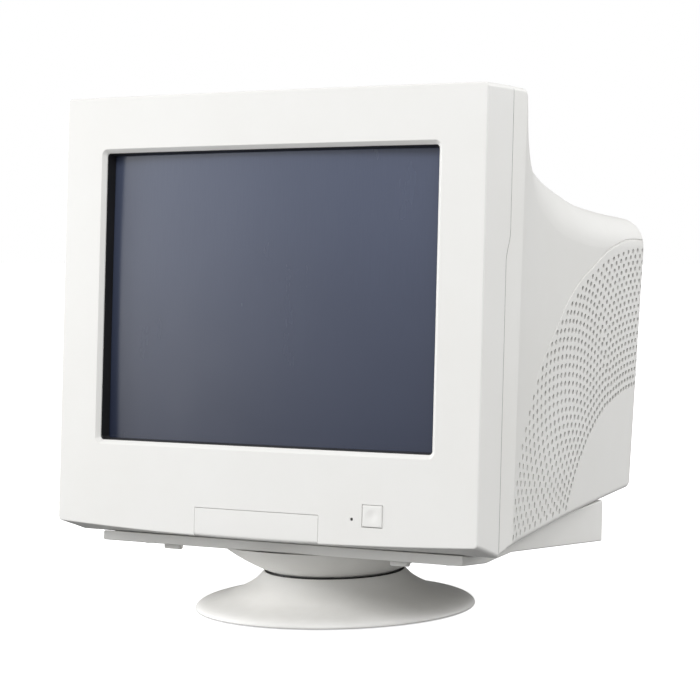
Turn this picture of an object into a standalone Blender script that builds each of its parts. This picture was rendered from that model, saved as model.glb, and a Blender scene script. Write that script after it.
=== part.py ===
"""A 17-inch CRT computer monitor on a tilt-and-swivel pedestal.

Metres, +Z up, the screen faces -Y and +X is on the viewer's right. The world origin is on the desk, under the
middle of the monitor. The head is drawn level, in its own frame: the datum is the middle of the front face's
bottom edge, X to the right, Y towards the back, Z up. An empty at the tilt centre carries it.
"""

import math

import bmesh
import bpy
from mathutils import Matrix, Vector

# Driving dimensions
CABINET_W = 0.410
FACE_H = 0.3585
FACE_BOW = 0.005  # the face's side edges stand this far behind its middle
FACE_SAG = 0.005  # the bottom edge hangs this far below its ends
WALL = 0.0028
GAP = 0.0003
MOVING_GAP = 0.0004
SCREEN_W = 0.3235
SCREEN_H = 0.2398
SCREEN_MID_Z = 0.1909
CHAMFER = 0.0034
SEAM_LOW_Y = 0.0400
SEAM_HIGH_Y = 0.0460
SEAM_STEP_Z = (0.222, 0.246)
COVER_LOW_RADIUS = 0.007
GLASS_Y = 0.0098
GLASS_RADIUS_X = 2.0
GLASS_RADIUS_Z = 6.0
GLASS_WALL = 0.0105
FUNNEL_WALL = 0.0024
BODY_LEAN = 0.084  # the back wall's slope, metres of Y for each metre of Z
BAND_LEAN = 0.0208  # the same for the rear edge of the cover's front band
TRAY_FRONT_Y = 0.032
TRAY_REAR_Y = 0.297
TRAY_FLOOR_Z = -0.0100
TRAY_LIP_Z = -0.0164

# Tilt and swivel
SWIVEL_Y = -0.0840  # the swivel axis, ahead of the origin
TILT_Z = 0.1723
TILT_CENTRE = Vector((0.0, 0.11202, 0.104835))  # in the head's frame
REST_TILT = math.radians(4.85)
DOME_R = 0.150
DOME_WALL = 0.003
PEDESTAL_R = 0.1187

# Front controls
FLAP_X = (-0.0585, 0.0620)
FLAP_TOP_Z = 0.0185
FLAP_HINGE = Vector((0.0, 0.0056, 0.0012))
POCKET_Y = 0.0130
BUTTON_X = 0.1119
BUTTON_Z = 0.0203
BUTTON_W = 0.0183
BUTTON_H = 0.0172
LIGHT_X = 0.0931
LIGHT_Z = 0.0171
CONTROL_BOARD_Y = 0.0172
CONTROL_XS = (-0.034, -0.011, 0.012, 0.035)
CONTROL_Z = 0.0075

CORNER_STEPS = 4
FLAT_STEPS = 4


def start_scene():
    for old in list(bpy.data.objects):
        bpy.data.objects.remove(old, do_unlink=True)
    parts = bpy.data.collections.new("crt_monitor")
    cutters = bpy.data.collections.new("cutters")
    for collection in (parts, cutters):
        bpy.context.scene.collection.children.link(collection)
    return parts, cutters


PARTS, CUTTERS = start_scene()


def material(name, colour, roughness, metallic=0.0):
    made = bpy.data.materials.new(name)
    made.use_nodes = True
    shader = made.node_tree.nodes["Principled BSDF"]
    shader.inputs["Base Color"].default_value = (*colour, 1.0)
    shader.inputs["Roughness"].default_value = roughness
    shader.inputs["Metallic"].default_value = metallic
    return made


CASE = material("case_plastic", (0.80, 0.79, 0.76), 0.45)
BLACK = material("black_plastic", (0.012, 0.012, 0.013), 0.5)
GLASS = material("tube_glass", (0.16, 0.18, 0.23), 0.08)
COATING = material("tube_coating", (0.05, 0.05, 0.055), 0.7)
STEEL = material("zinc_steel", (0.62, 0.63, 0.64), 0.35, 1.0)
ALUMINIUM = material("aluminium", (0.72, 0.73, 0.74), 0.4, 1.0)
COPPER = material("copper_winding", (0.55, 0.23, 0.10), 0.35, 1.0)
FERRITE = material("ferrite", (0.07, 0.07, 0.075), 0.6)
BOARD = material("circuit_board", (0.10, 0.22, 0.08), 0.5)
RUBBER = material("rubber", (0.03, 0.03, 0.03), 0.8)
LEAD_RED = material("red_insulation", (0.45, 0.03, 0.02), 0.4)
CAN = material("capacitor_sleeve", (0.05, 0.07, 0.16), 0.35)
BLUE_SHELL = material("socket_insulator", (0.05, 0.08, 0.35), 0.45)


def add_empty(name, location, rotation=(0.0, 0.0, 0.0)):
    empty = bpy.data.objects.new(name, None)
    empty.location = location
    empty.rotation_euler = rotation
    PARTS.objects.link(empty)
    return empty


SWIVEL = add_empty("swivel_axis", (0.0, SWIVEL_Y, 0.0))
TILT = add_empty("tilt_axis", (0.0, 0.0, TILT_Z), (-REST_TILT, 0.0, 0.0))
TILT.parent = SWIVEL


def shade(obj, angle=35.0):
    obj.data.shade_smooth()
    obj.data.set_sharp_from_angle(angle=math.radians(angle))


def add_object(name, bm, mat, cutter=False):
    mesh = bpy.data.meshes.new(name)
    bm.to_mesh(mesh)
    bm.free()
    obj = bpy.data.objects.new(name, mesh)
    (CUTTERS if cutter else PARTS).objects.link(obj)
    if mat:
        mesh.materials.append(mat)
        shade(obj)
    if cutter:
        obj.hide_render = True
        obj.display_type = "WIRE"
    return obj


def in_head(obj, origin=None):
    """Puts an object drawn in the head's frame under the tilt axis, with its own origin moved to a point."""
    origin = Vector(origin or (0.0, 0.0, 0.0))
    obj.data.transform(Matrix.Translation(obj.location - origin))
    obj.parent = TILT
    obj.location = origin - TILT_CENTRE
    return obj


def in_base(obj):
    """Puts an object drawn round the swivel axis, with Z from the desk, under that axis."""
    obj.parent = SWIVEL
    return obj


def box(name, low, high, mat=None, bevel=0.0, cutter=False):
    low, high = Vector(low), Vector(high)
    bm = bmesh.new()
    bmesh.ops.create_cube(bm, size=1.0, matrix=Matrix.Diagonal((*(high - low), 1.0)))
    bmesh.ops.translate(bm, vec=(low + high) / 2, verts=bm.verts)
    if bevel:
        bmesh.ops.bevel(bm, geom=bm.edges[:], offset=bevel, segments=2, affect="EDGES")
    return add_object(name, bm, mat, cutter)


def rod(name, start, end, radius, mat=None, sides=20, end_radius=None, cutter=False):
    start, end = Vector(start), Vector(end)
    bm = bmesh.new()
    turn = Vector((0, 0, 1)).rotation_difference(end - start).to_matrix().to_4x4()
    bmesh.ops.create_cone(
        bm,
        cap_ends=True,
        segments=sides,
        radius1=radius,
        radius2=radius if end_radius is None else end_radius,
        depth=(end - start).length,
        matrix=Matrix.Translation((start + end) / 2) @ turn,
    )
    return add_object(name, bm, mat, cutter)


def boolean(obj, other, operation="DIFFERENCE", solver="EXACT"):
    """Cuts or joins, and applies it at once. Both meshes are still in the same frame."""
    cut = obj.modifiers.new(operation.lower(), "BOOLEAN")
    cut.operation = operation
    cut.solver = solver
    cut.object = other
    bpy.context.view_layer.update()
    graph = bpy.context.evaluated_depsgraph_get()
    result = bpy.data.meshes.new_from_object(obj.evaluated_get(graph))
    obj.modifiers.clear()
    obj.data = result
    bpy.data.objects.remove(other, do_unlink=True)
    shade(obj)
    return obj


def cut_box(obj, low, high, solver="EXACT"):
    return boolean(obj, box("cutter", low, high, cutter=True), solver=solver)


def cut_rod(obj, start, end, radius, sides=20, solver="EXACT"):
    return boolean(obj, rod("cutter", start, end, radius, sides=sides, cutter=True), solver=solver)


def turned(name, profile, mat, steps=40, axis_from=(0.0, 0.0, 0.0), along_y=False):
    """A profile of (radius, height) points, top to bottom on its outer side, turned round an axis."""
    bm = bmesh.new()
    closed = profile[0] == profile[-1]
    points = [bm.verts.new((radius, 0.0, height)) for radius, height in (profile[:-1] if closed else profile)]
    ends = points[1:] + ([points[0]] if closed else [])
    for a, b in zip(points, ends):
        bm.edges.new((a, b))
    obj = add_object(name, bm, None)
    screw = obj.modifiers.new("screw", "SCREW")
    screw.axis = "Z"
    screw.steps = screw.render_steps = steps
    screw.use_merge_vertices = True
    screw.merge_threshold = 0.00001
    bpy.context.view_layer.update()
    graph = bpy.context.evaluated_depsgraph_get()
    obj.data = bpy.data.meshes.new_from_object(obj.evaluated_get(graph))
    obj.modifiers.clear()
    if along_y:
        obj.data.transform(Matrix.Rotation(math.radians(90), 4, "X"))
    obj.data.transform(Matrix.Translation(axis_from))
    obj.data.materials.append(mat)
    shade(obj)
    return obj


def wire(name, points, radius, mat, cyclic=False, resolution=2):
    curve = bpy.data.curves.new(name, "CURVE")
    curve.dimensions = "3D"
    curve.bevel_depth = radius
    curve.bevel_resolution = resolution
    curve.use_fill_caps = True
    spline = curve.splines.new("POLY")
    spline.points.add(len(points) - 1)
    for point, place in zip(spline.points, points):
        point.co = (*place, 1.0)
    spline.use_cyclic_u = cyclic
    drawn = bpy.data.objects.new(name + "_curve", curve)
    PARTS.objects.link(drawn)
    bpy.context.view_layer.update()
    graph = bpy.context.evaluated_depsgraph_get()
    bm = bmesh.new()
    bm.from_mesh(bpy.data.meshes.new_from_object(drawn.evaluated_get(graph)))
    bmesh.ops.remove_doubles(bm, verts=bm.verts, dist=0.000001)
    bpy.data.objects.remove(drawn, do_unlink=True)
    return add_object(name, bm, mat)


def ring(half_w, low, high, radius, y, bow=0.0, sag=0.0, lean=0.0, uprights=None, low_radius=None):
    """A rounded rectangle in an XZ plane, anticlockwise from the bottom left. Y may be a function of Z."""
    radius = min(radius, half_w * 0.999, (high - low) * 0.4995)
    base_radius = min(low_radius or radius, radius)
    inner_x, base_x, low_z, high_z = half_w - radius, half_w - base_radius, low + base_radius, high - radius
    uprights = uprights or [low_z + (high_z - low_z) * k / (FLAT_STEPS + 1) for k in range(1, FLAT_STEPS + 1)]
    flats = [inner_x * (2 * k / (FLAT_STEPS + 1) - 1) for k in range(1, FLAT_STEPS + 1)]
    corners = [(-base_x, low_z, 180), (base_x, low_z, 270), (inner_x, high_z, 0), (-inner_x, high_z, 90)]
    sides = [
        [(x, low) for x in flats],
        [(half_w, z) for z in uprights],
        [(x, high) for x in reversed(flats)],
        [(-half_w, z) for z in reversed(uprights)],
    ]
    outline = []
    for (x, z, first), side in zip(corners, sides):
        size = base_radius if first >= 180 else radius
        for k in range(CORNER_STEPS + 1):
            angle = math.radians(first + 90 * k / CORNER_STEPS)
            outline.append((x + size * math.cos(angle), z + size * math.sin(angle)))
        outline += side
    middle = (low + high) / 2
    points = []
    for x, z in outline:
        across = (x / half_w) ** 2
        station = y(z) if callable(y) else y
        depth = station + bow * (2 * x / CABINET_W) ** 2 + lean * (z - middle)
        points.append((x, depth, z - (sag * (1 - across) if z < middle else 0.0)))
    return points


def round_ring(radius, mid, y):
    """A circle with as many points as a ring, in the same order."""
    count = 4 * (CORNER_STEPS + 1 + FLAT_STEPS)
    turns = [math.radians(225 + 360 * (k - CORNER_STEPS / 2) / count) for k in range(count)]
    return [(radius * math.cos(turn), y, mid + radius * math.sin(turn)) for turn in turns]


def loft(name, rings, mat, thickness=0.0, close_first=False, close_last=False, cutter=False):
    """A skin over rings listed front to back, with the outside facing out, then given a wall inwards."""
    bm = bmesh.new()
    loops = [[bm.verts.new(point) for point in points] for points in rings]
    for a, b in zip(loops, loops[1:]):
        for i in range(len(a)):
            j = (i + 1) % len(a)
            bm.faces.new((a[i], b[i], b[j], a[j]))
    if close_first:
        bm.faces.new(loops[0])
    if close_last:
        bm.faces.new(list(reversed(loops[-1])))
    bmesh.ops.triangulate(bm, faces=[face for face in bm.faces if len(face.verts) > 4])
    obj = add_object(name, bm, mat, cutter)
    if thickness:
        solidify = obj.modifiers.new("wall", "SOLIDIFY")
        solidify.thickness = thickness
        solidify.offset = -1.0
        solidify.use_even_offset = True
        bpy.context.view_layer.update()
        graph = bpy.context.evaluated_depsgraph_get()
        obj.data = bpy.data.meshes.new_from_object(obj.evaluated_get(graph))
        obj.modifiers.clear()
    return obj


def seam_y(z):
    """Where the bezel meets the rear cover, which steps back in its upper part."""
    low_z, high_z = SEAM_STEP_Z
    share = min(max((z - low_z) / (high_z - low_z), 0.0), 1.0)
    return SEAM_LOW_Y + (SEAM_HIGH_Y - SEAM_LOW_Y) * share


LOW_EDGE = ((0.0400, -0.0085), (0.0610, -0.0020), (0.1180, 0.0046), (0.2040, 0.0155), (0.2980, 0.0263),
            (0.3800, 0.0355))


def cover_low(y):
    """Height of the rear cover's lower edge, which rises towards the back."""
    for (y_a, z_a), (y_b, z_b) in zip(LOW_EDGE, LOW_EDGE[1:]):
        if y <= y_b:
            break
    return z_a + (z_b - z_a) * (y - y_a) / (y_b - y_a)


SEAM_UPRIGHTS = [0.110, SEAM_STEP_Z[0], SEAM_STEP_Z[1], 0.300]


def front_bezel():
    half, sw, sh = CABINET_W / 2, SCREEN_W / 2 + 0.0014, SCREEN_H / 2 + 0.0014
    low, high = SCREEN_MID_Z - sh, SCREEN_MID_Z + sh
    window = [0.110, 0.170, 0.222, 0.262]
    rings = [
        ring(sw, low, high, 0.004, 0.0037, bow=FACE_BOW, uprights=window),
        ring(sw, low, high, 0.004, 0.0028, bow=FACE_BOW, uprights=window),
        ring(sw + CHAMFER, low - CHAMFER, high + CHAMFER, 0.005, 0.0, bow=FACE_BOW, uprights=window),
    ]
    for inset, radius, depth in ((0.0025, 0.006, 0.0), (0.0006, 0.008, 0.0008), (0.0, 0.009, 0.0028)):
        top = FACE_H - inset
        rings.append(ring(half - inset, inset, top, radius, depth, FACE_BOW, FACE_SAG, uprights=SEAM_UPRIGHTS))
    rings.append(ring(half, -0.0085, FACE_H + 0.001, 0.010, seam_y, uprights=SEAM_UPRIGHTS))
    bezel = loft("front_bezel", rings, CASE, WALL)
    low = (FLAP_X[0] - MOVING_GAP, -0.01, -0.02)
    cut_box(bezel, low, (FLAP_X[1] + MOVING_GAP, 0.0135, FLAP_TOP_Z + MOVING_GAP))
    reach_x, reach_z = BUTTON_W / 2 + MOVING_GAP, BUTTON_H / 2 + MOVING_GAP
    low = (BUTTON_X - reach_x, -0.01, BUTTON_Z - reach_z)
    cut_box(bezel, low, (BUTTON_X + reach_x, 0.01, BUTTON_Z + reach_z))
    cut_rod(bezel, (LIGHT_X, -0.01, LIGHT_Z), (LIGHT_X, 0.01, LIGHT_Z), 0.0014, 16)
    return in_head(bezel)


def screen_surround():
    """The black ring that lines the window and laps the glass."""
    half_w, half_h = SCREEN_W / 2, SCREEN_H / 2
    low, high = SCREEN_MID_Z - half_h, SCREEN_MID_Z + half_h
    rings = [
        ring(half_w, low, high, 0.0025, 0.0082, bow=0.0100),
        ring(half_w, low, high, 0.0025, 0.0042, bow=FACE_BOW),
        ring(half_w + 0.0011, low - 0.0011, high + 0.0011, 0.0035, 0.0042, bow=FACE_BOW),
        ring(half_w + 0.0011, low - 0.0011, high + 0.0011, 0.0035, 0.0066, bow=0.0100),
        ring(half_w + 0.0080, low - 0.0080, high + 0.0080, 0.008, 0.0066, bow=0.0100),
        ring(half_w + 0.0080, low - 0.0080, high + 0.0080, 0.008, 0.0082, bow=0.0100),
    ]
    rings.append(rings[0])
    return in_head(weld(loft("screen_surround", rings, BLACK)))


def weld(obj):
    bm = bmesh.new()
    bm.from_mesh(obj.data)
    bmesh.ops.remove_doubles(bm, verts=bm.verts, dist=0.000001)
    bm.to_mesh(obj.data)
    bm.free()
    shade(obj)
    return obj


def control_pocket():
    """The open-fronted box behind the flap. Its walls run forward of the hinge holes."""
    low_x, high_x, top = FLAP_X[0] - 0.0006, FLAP_X[1] + 0.0006, FLAP_TOP_Z + 0.0006
    low, high = (low_x - 0.003, 0.0050, -0.0012), (high_x + 0.003, POCKET_Y + 0.002, top + 0.002)
    pocket = box("control_pocket", low, high, CASE)
    cut_box(pocket, (low_x, -0.01, -0.0100), (high_x, POCKET_Y, top))
    for side in (low_x, high_x):
        start = Vector((side - 0.01, FLAP_HINGE.y, FLAP_HINGE.z))
        cut_rod(pocket, start, start + Vector((0.02, 0, 0)), 0.00145, 12)
    for x in CONTROL_XS:
        cut_box(pocket, (x - 0.0044, 0.01, CONTROL_Z - 0.0029), (x + 0.0044, 0.02, CONTROL_Z + 0.0029))
    return in_head(pocket)


def flap_door():
    low_x, high_x = FLAP_X
    ends = [low_x + (high_x - low_x) * k / 6 for k in range(7)]
    sections = []
    for x in ends:
        bow = (2 * x / CABINET_W) ** 2
        y, low = FACE_BOW * bow, -FACE_SAG * (1 - bow)
        back = [(y + 0.0026, low + 0.0010), (y + 0.0026, FLAP_TOP_Z)]
        front = [(y + 0.0003, FLAP_TOP_Z), (y, FLAP_TOP_Z - 0.0003)]
        foot = [(y, low + 0.0016), (y + 0.0006, low + 0.0006)]
        sections.append([(x, *point) for point in back + front + foot])
    door = loft("flap_door", sections, CASE, 0.0, True, True)
    bm = bmesh.new()
    bm.from_mesh(door.data)
    bmesh.ops.recalc_face_normals(bm, faces=bm.faces)
    bm.to_mesh(door.data)
    bm.free()
    for x, way in ((low_x, -1), (high_x, 1)):
        ear_low, ear_high = sorted((x, x - way * 0.002))
        ear_top = (ear_high, FLAP_HINGE.y + 0.0013, FLAP_HINGE.z + 0.0013)
        ear = box("ear", (ear_low, 0.0015, FLAP_HINGE.z - 0.0013), ear_top)
        boolean(door, ear, "UNION")
        start = (x - way * 0.001, FLAP_HINGE.y, FLAP_HINGE.z)
        end = (x + way * 0.0022, FLAP_HINGE.y, FLAP_HINGE.z)
        boolean(door, rod("pin", start, end, 0.0011, sides=12), "UNION")
    return in_head(door, FLAP_HINGE)


def buttons_and_light():
    half_w, half_h = BUTTON_W / 2, BUTTON_H / 2
    low = (BUTTON_X - half_w, 0.0011, BUTTON_Z - half_h)
    cap = box("power_button", low, (BUTTON_X + half_w, 0.0100, BUTTON_Z + half_h), CASE, 0.0004)
    low = (BUTTON_X - 0.002, 0.009, BUTTON_Z - 0.002)
    boolean(cap, box("stem", low, (BUTTON_X + 0.002, 0.0138, BUTTON_Z + 0.002)), "UNION")
    in_head(cap, (BUTTON_X, 0.0011, BUTTON_Z))
    start = (LIGHT_X, 0.0022, LIGHT_Z)
    in_head(rod("status_light_guide", start, (LIGHT_X, CONTROL_BOARD_Y - GAP, LIGHT_Z), 0.0011, BLACK, 16))
    for number, x in enumerate(CONTROL_XS, 1):
        low = (x - 0.0040, 0.0092, CONTROL_Z - 0.0025)
        button = box(f"control_button_{number}", low, (x + 0.0040, 0.0158, CONTROL_Z + 0.0025), CASE, 0.0005)
        in_head(button, (x, 0.0092, CONTROL_Z))
    low, high = (-0.062, CONTROL_BOARD_Y, 0.001), (0.128, CONTROL_BOARD_Y + 0.0016, 0.032)
    in_head(box("control_board", low, high, BOARD))


def glass_y(x, z):
    return GLASS_Y + x * x / (2 * GLASS_RADIUS_X) + (z - SCREEN_MID_Z) ** 2 / (2 * GLASS_RADIUS_Z)


def on_glass(points, inset=0.0):
    return [(x, glass_y(x, z) + inset, z) for x, _, z in points]


def tube_faceplate():
    """The thick front of the tube: a curved plate with a skirt, open at the back."""
    half_w, half_h, mid = 0.1720, 0.1300, SCREEN_MID_Z
    rings = []
    for share in (0.30, 0.62, 0.86, 0.965):
        reach = half_h * share
        rings.append(on_glass(ring(half_w * share, mid - reach, mid + reach, 0.018 * share, 0.0)))
    reach = half_h * 0.989
    rings.append(on_glass(ring(half_w * 0.992, mid - reach, mid + reach, 0.0195, 0.0), 0.0018))
    rings.append(on_glass(ring(half_w, mid - half_h, mid + half_h, 0.020, 0.0), 0.0060))
    rings.append(ring(half_w, mid - half_h, mid + half_h, 0.020, 0.0600))
    half_w, half_h = half_w - GLASS_WALL, half_h - GLASS_WALL
    rings.append(ring(half_w, mid - half_h, mid + half_h, 0.011, 0.0600))
    for share, radius in ((1.0, 0.011), (0.86, 0.011), (0.50, 0.006)):
        inner = ring(half_w * share, mid - half_h * share, mid + half_h * share, radius, 0.0)
        rings.append(on_glass(inner, GLASS_WALL))
    return in_head(loft("tube_faceplate", rings, GLASS, close_first=True, close_last=True))


def shadow_mask():
    half_w, half_h, mid = 0.1570, 0.1150, SCREEN_MID_Z
    shares = (0.3, 0.7, 1.0)
    outer = [ring(half_w * s, mid - half_h * s, mid + half_h * s, 0.012 * s, 0.0) for s in shares]
    rings = [on_glass(points, 0.0220) for points in outer]
    rings.append(ring(half_w, mid - half_h, mid + half_h, 0.012, 0.050))
    half_w, half_h = half_w - 0.0012, half_h - 0.0012
    rings.append(ring(half_w, mid - half_h, mid + half_h, 0.011, 0.050))
    inner = [ring(half_w * s, mid - half_h * s, mid + half_h * s, 0.011 * s, 0.0) for s in reversed(shares)]
    rings += [on_glass(points, 0.0232) for points in inner]
    return in_head(loft("shadow_mask", rings, STEEL, close_first=True, close_last=True))


FUNNEL = (  # y, half width, half height, corner radius
    (0.0603, 0.1700, 0.1280, 0.022),
    (0.0800, 0.1630, 0.1180, 0.040),
    (0.1100, 0.1430, 0.0980, 0.060),
    (0.1500, 0.1060, 0.0740, 0.060),
    (0.1900, 0.0680, 0.0510, 0.050),
    (0.2250, 0.0330, 0.0280, 0.027),
)
NECK = (0.2450, 0.3400, 0.0145)  # first y, last y, radius


def tube_funnel():
    mid = SCREEN_MID_Z
    start, end, radius = NECK
    outer, inner = [], []
    for y, w, h, r in FUNNEL:
        outer.append(ring(w, mid - h, mid + h, r, y))
        low, high = mid - h + FUNNEL_WALL, mid + h - FUNNEL_WALL
        inner.append(ring(w - FUNNEL_WALL, low, high, r - FUNNEL_WALL, y))
    outer += [round_ring(radius, mid, start), round_ring(radius, mid, end)]
    inner += [round_ring(radius - FUNNEL_WALL, mid, y) for y in (start, end - 0.003)]
    rings = list(reversed(inner)) + outer
    return in_head(loft("tube_funnel", rings, COATING, close_first=True, close_last=True))


def round_neck(name, profile, mat, steps, y):
    """Turns a profile of (radius, distance back) points round the tube's neck, from a station along it."""
    upright = [(radius, -back) for radius, back in profile]
    return in_head(turned(name, upright, mat, steps, (0, y, SCREEN_MID_Z), along_y=True))


def electron_gun():
    profile = [(0, 0.0), (0.0085, 0.0), (0.0085, 0.030), (0.0100, 0.032), (0.0100, 0.050), (0.006, 0.052)]
    round_neck("electron_gun", profile + [(0.006, 0.072), (0, 0.072)], STEEL, 20, 0.258)


def tube_band():
    """The steel implosion band round the skirt, with a lug at each corner for the tube's screws."""
    half_w, half_h, mid = 0.1724, 0.1304, SCREEN_MID_Z
    rings = []
    for grow, y in ((0.0, 0.044), (0.0, 0.026), (0.0014, 0.026), (0.0014, 0.044), (0.0, 0.044)):
        rings.append(ring(half_w + grow, mid - half_h - grow, mid + half_h + grow, 0.0204, y))
    band = weld(loft("tube_band", rings, STEEL))
    for x in (-1, 1):
        for z in (-1, 1):
            near = Vector((x * (half_w - 0.0080), 0.030, mid + z * (half_h - 0.0080)))
            far = Vector((x * (half_w + 0.015), 0.0318, mid + z * (half_h + 0.015)))
            lug = box("lug", [min(pair) for pair in zip(near, far)], [max(pair) for pair in zip(near, far)])
            clear = [ring(half_w, mid - half_h, mid + half_h, 0.0204, y) for y in (0.02, 0.05)]
            boolean(lug, loft("cutter", clear, None, 0.0, True, True, cutter=True))
            boolean(band, lug, "UNION")
            hole = Vector((x * (half_w + 0.0095), 0.02, mid + z * (half_h + 0.0095)))
            cut_rod(band, hole, hole + Vector((0, 0.03, 0)), 0.0027, 12)
    in_head(band)
    for number, (x, z) in enumerate(((-1, -1), (1, -1), (1, 1), (-1, 1)), 1):
        place = Vector((x * (half_w + 0.0095), 0.0, mid + z * (half_h + 0.0095)))
        seat = place + Vector((0, 0.0322, 0))
        screw(f"tube_screw_{number}", seat, (0, 1, 0), 0.0052, 0.0032, 0.0022, 0.020)


def screw(name, seat, outward, head_r, head_h, shank_r, length):
    """A pan-head screw, in the head's frame. Its head stands out of the seat, and its shank goes in."""
    seat, outward = Vector(seat), Vector(outward)
    made = rod(name, seat + outward * head_h, seat, head_r * 0.8, STEEL, 16, end_radius=head_r)
    shank = rod("shank", seat + outward * head_h * 0.5, seat - outward * length, shank_r, sides=10)
    boolean(made, shank, "UNION")
    start, end = seat + outward * (head_h + 0.001), seat + outward * head_h * 0.5
    slot = rod("slot", start, end, head_r * 0.3, sides=4)
    boolean(made, slot)
    return in_head(made)


def degauss_coil():
    """The loop round the tube, just behind the band."""
    mid = SCREEN_MID_Z
    points = ring(0.181, mid - 0.139, mid + 0.139, 0.040, 0.0530)
    return in_head(wire("degauss_coil", points, 0.0042, BLACK, cyclic=True))


def neck_parts():
    """The windings, magnets, socket, board and shield that the tube's neck carries."""
    mid = SCREEN_MID_Z
    front = [(0.0800, 0.0), (0.0800, 0.005), (0.0760, 0.007), (0.0660, 0.022), (0.0450, 0.047), (0.0340, 0.063)]
    back = [(0.0300, 0.067), (0.0162, 0.067), (0.0162, 0.0475), (0.0370, 0.0260), (0.0640, 0.0), (0.0800, 0.0)]
    round_neck("deflection_yoke", front + back, COPPER, 32, 0.1990)
    magnet = [(0.0260, 0.0), (0.0260, 0.004), (0.0152, 0.004), (0.0152, 0.0), (0.0260, 0.0)]
    for number, y in enumerate((0.270, 0.2755, 0.281), 1):
        round_neck(f"convergence_ring_{number}", magnet, FERRITE, 28, y)
    round_neck("tube_socket", [(0.0, 0.0), (0.017, 0.0), (0.017, 0.0095), (0.0, 0.0095)], BLACK, 24, 0.3405)
    in_head(box("neck_board", (-0.040, 0.3503, mid - 0.045), (0.040, 0.3519, mid + 0.040), BOARD))
    in_head(box("neck_shield", (-0.036, 0.3523, mid - 0.040), (0.036, 0.3583, mid + 0.036), STEEL, 0.001))


def high_voltage():
    """The anode cap on the funnel, its lead, and the line-output transformer that feeds it."""
    mid = SCREEN_MID_Z
    profile = [(0, 0.0), (0.010, -0.0005), (0.017, -0.004), (0.0185, -0.007), (0, -0.007)]
    cap = turned("anode_cap", profile, RUBBER, 24)
    seat = Vector((0.055, 0.1300, mid + 0.0855))
    slope = Vector((0.0, 0.52, 0.854))
    turn = Vector((0, 0, 1)).rotation_difference(slope).to_matrix().to_4x4()
    cap.data.transform(Matrix.Translation(seat + slope * 0.0100) @ turn)
    in_head(cap)
    low, high = (0.085, 0.205, 0.0400), (0.130, 0.250, 0.1020)
    in_head(box("flyback_transformer", low, high, FERRITE, 0.004))
    route = [seat + slope * 0.0138]
    for x, y, z in ((0.062, 0.152, 0.283), (0.080, 0.180, 0.270), (0.105, 0.205, 0.240), (0.120, 0.222, 0.200),
                    (0.122, 0.230, 0.160), (0.115, 0.230, 0.125), (0.1075, 0.2275, 0.1028)):
        route.append(Vector((x, y, z)))
    in_head(wire("anode_lead", route, 0.0026, LEAD_RED))


def electronics():
    low, high = (-0.150, 0.105, 0.0262), (0.150, 0.270, 0.0278)
    in_head(box("main_board", low, high, BOARD))
    tray = box("chassis_tray", (-0.155, 0.100, 0.0200), (0.155, 0.2800, 0.0212), STEEL)
    for side in (-1, 1):
        low_x, high_x = sorted((side * 0.1536, side * 0.155))
        boolean(tray, box("flange", (low_x, 0.100, 0.0205), (high_x, 0.2800, 0.040)), "UNION")
        for y in (0.120, 0.255):
            post = rod("post", (side * 0.140, y, 0.0205), (side * 0.140, y, 0.0259), 0.003, sides=10)
            boolean(tray, post, "UNION")
    in_head(tray)
    sink = box("heat_sink", (-0.135, 0.150, 0.0281), (-0.131, 0.230, 0.090), ALUMINIUM)
    for y in (0.155, 0.172, 0.189, 0.206, 0.223):
        boolean(sink, box("fin", (-0.1315, y, 0.034), (-0.115, y + 0.002, 0.090)), "UNION")
    in_head(sink)
    in_head(rod("main_capacitor", (-0.085, 0.235, 0.0281), (-0.085, 0.235, 0.073), 0.015, CAN, 24))
    in_head(rod("filter_capacitor", (-0.050, 0.245, 0.0281), (-0.050, 0.245, 0.058), 0.009, CAN, 20))
    in_head(box("power_transformer", (-0.075, 0.165, 0.0281), (-0.030, 0.205, 0.066), COPPER, 0.002))


COVER = (  # y, half width, top, corner radius
    (0.0463, 0.2050, 0.3595, 0.010),
    (0.0600, 0.2050, 0.3595, 0.010),
    (0.0680, 0.2050, 0.3578, 0.012),
    (0.0760, 0.2027, 0.3453, 0.026),
    (0.0920, 0.1986, 0.3350, 0.045),
    (0.1150, 0.1936, 0.3247, 0.056),
    (0.1500, 0.1875, 0.3118, 0.056),
    (0.2000, 0.1801, 0.2958, 0.048),
    (0.2600, 0.1722, 0.2828, 0.038),
    (0.3200, 0.1650, 0.2783, 0.030),
    (0.3660, 0.1596, 0.2770, 0.026),
    (0.3770, 0.1570, 0.2710, 0.026),
    (0.3800, 0.1515, 0.2600, 0.026),
)


def cover_front(z):
    """The cover's front edge, one seam behind the bezel and clear of the sloping rim of its underside."""
    return seam_y(z) + (0.0018 if z < 0.02 else 2 * GAP)


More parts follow.
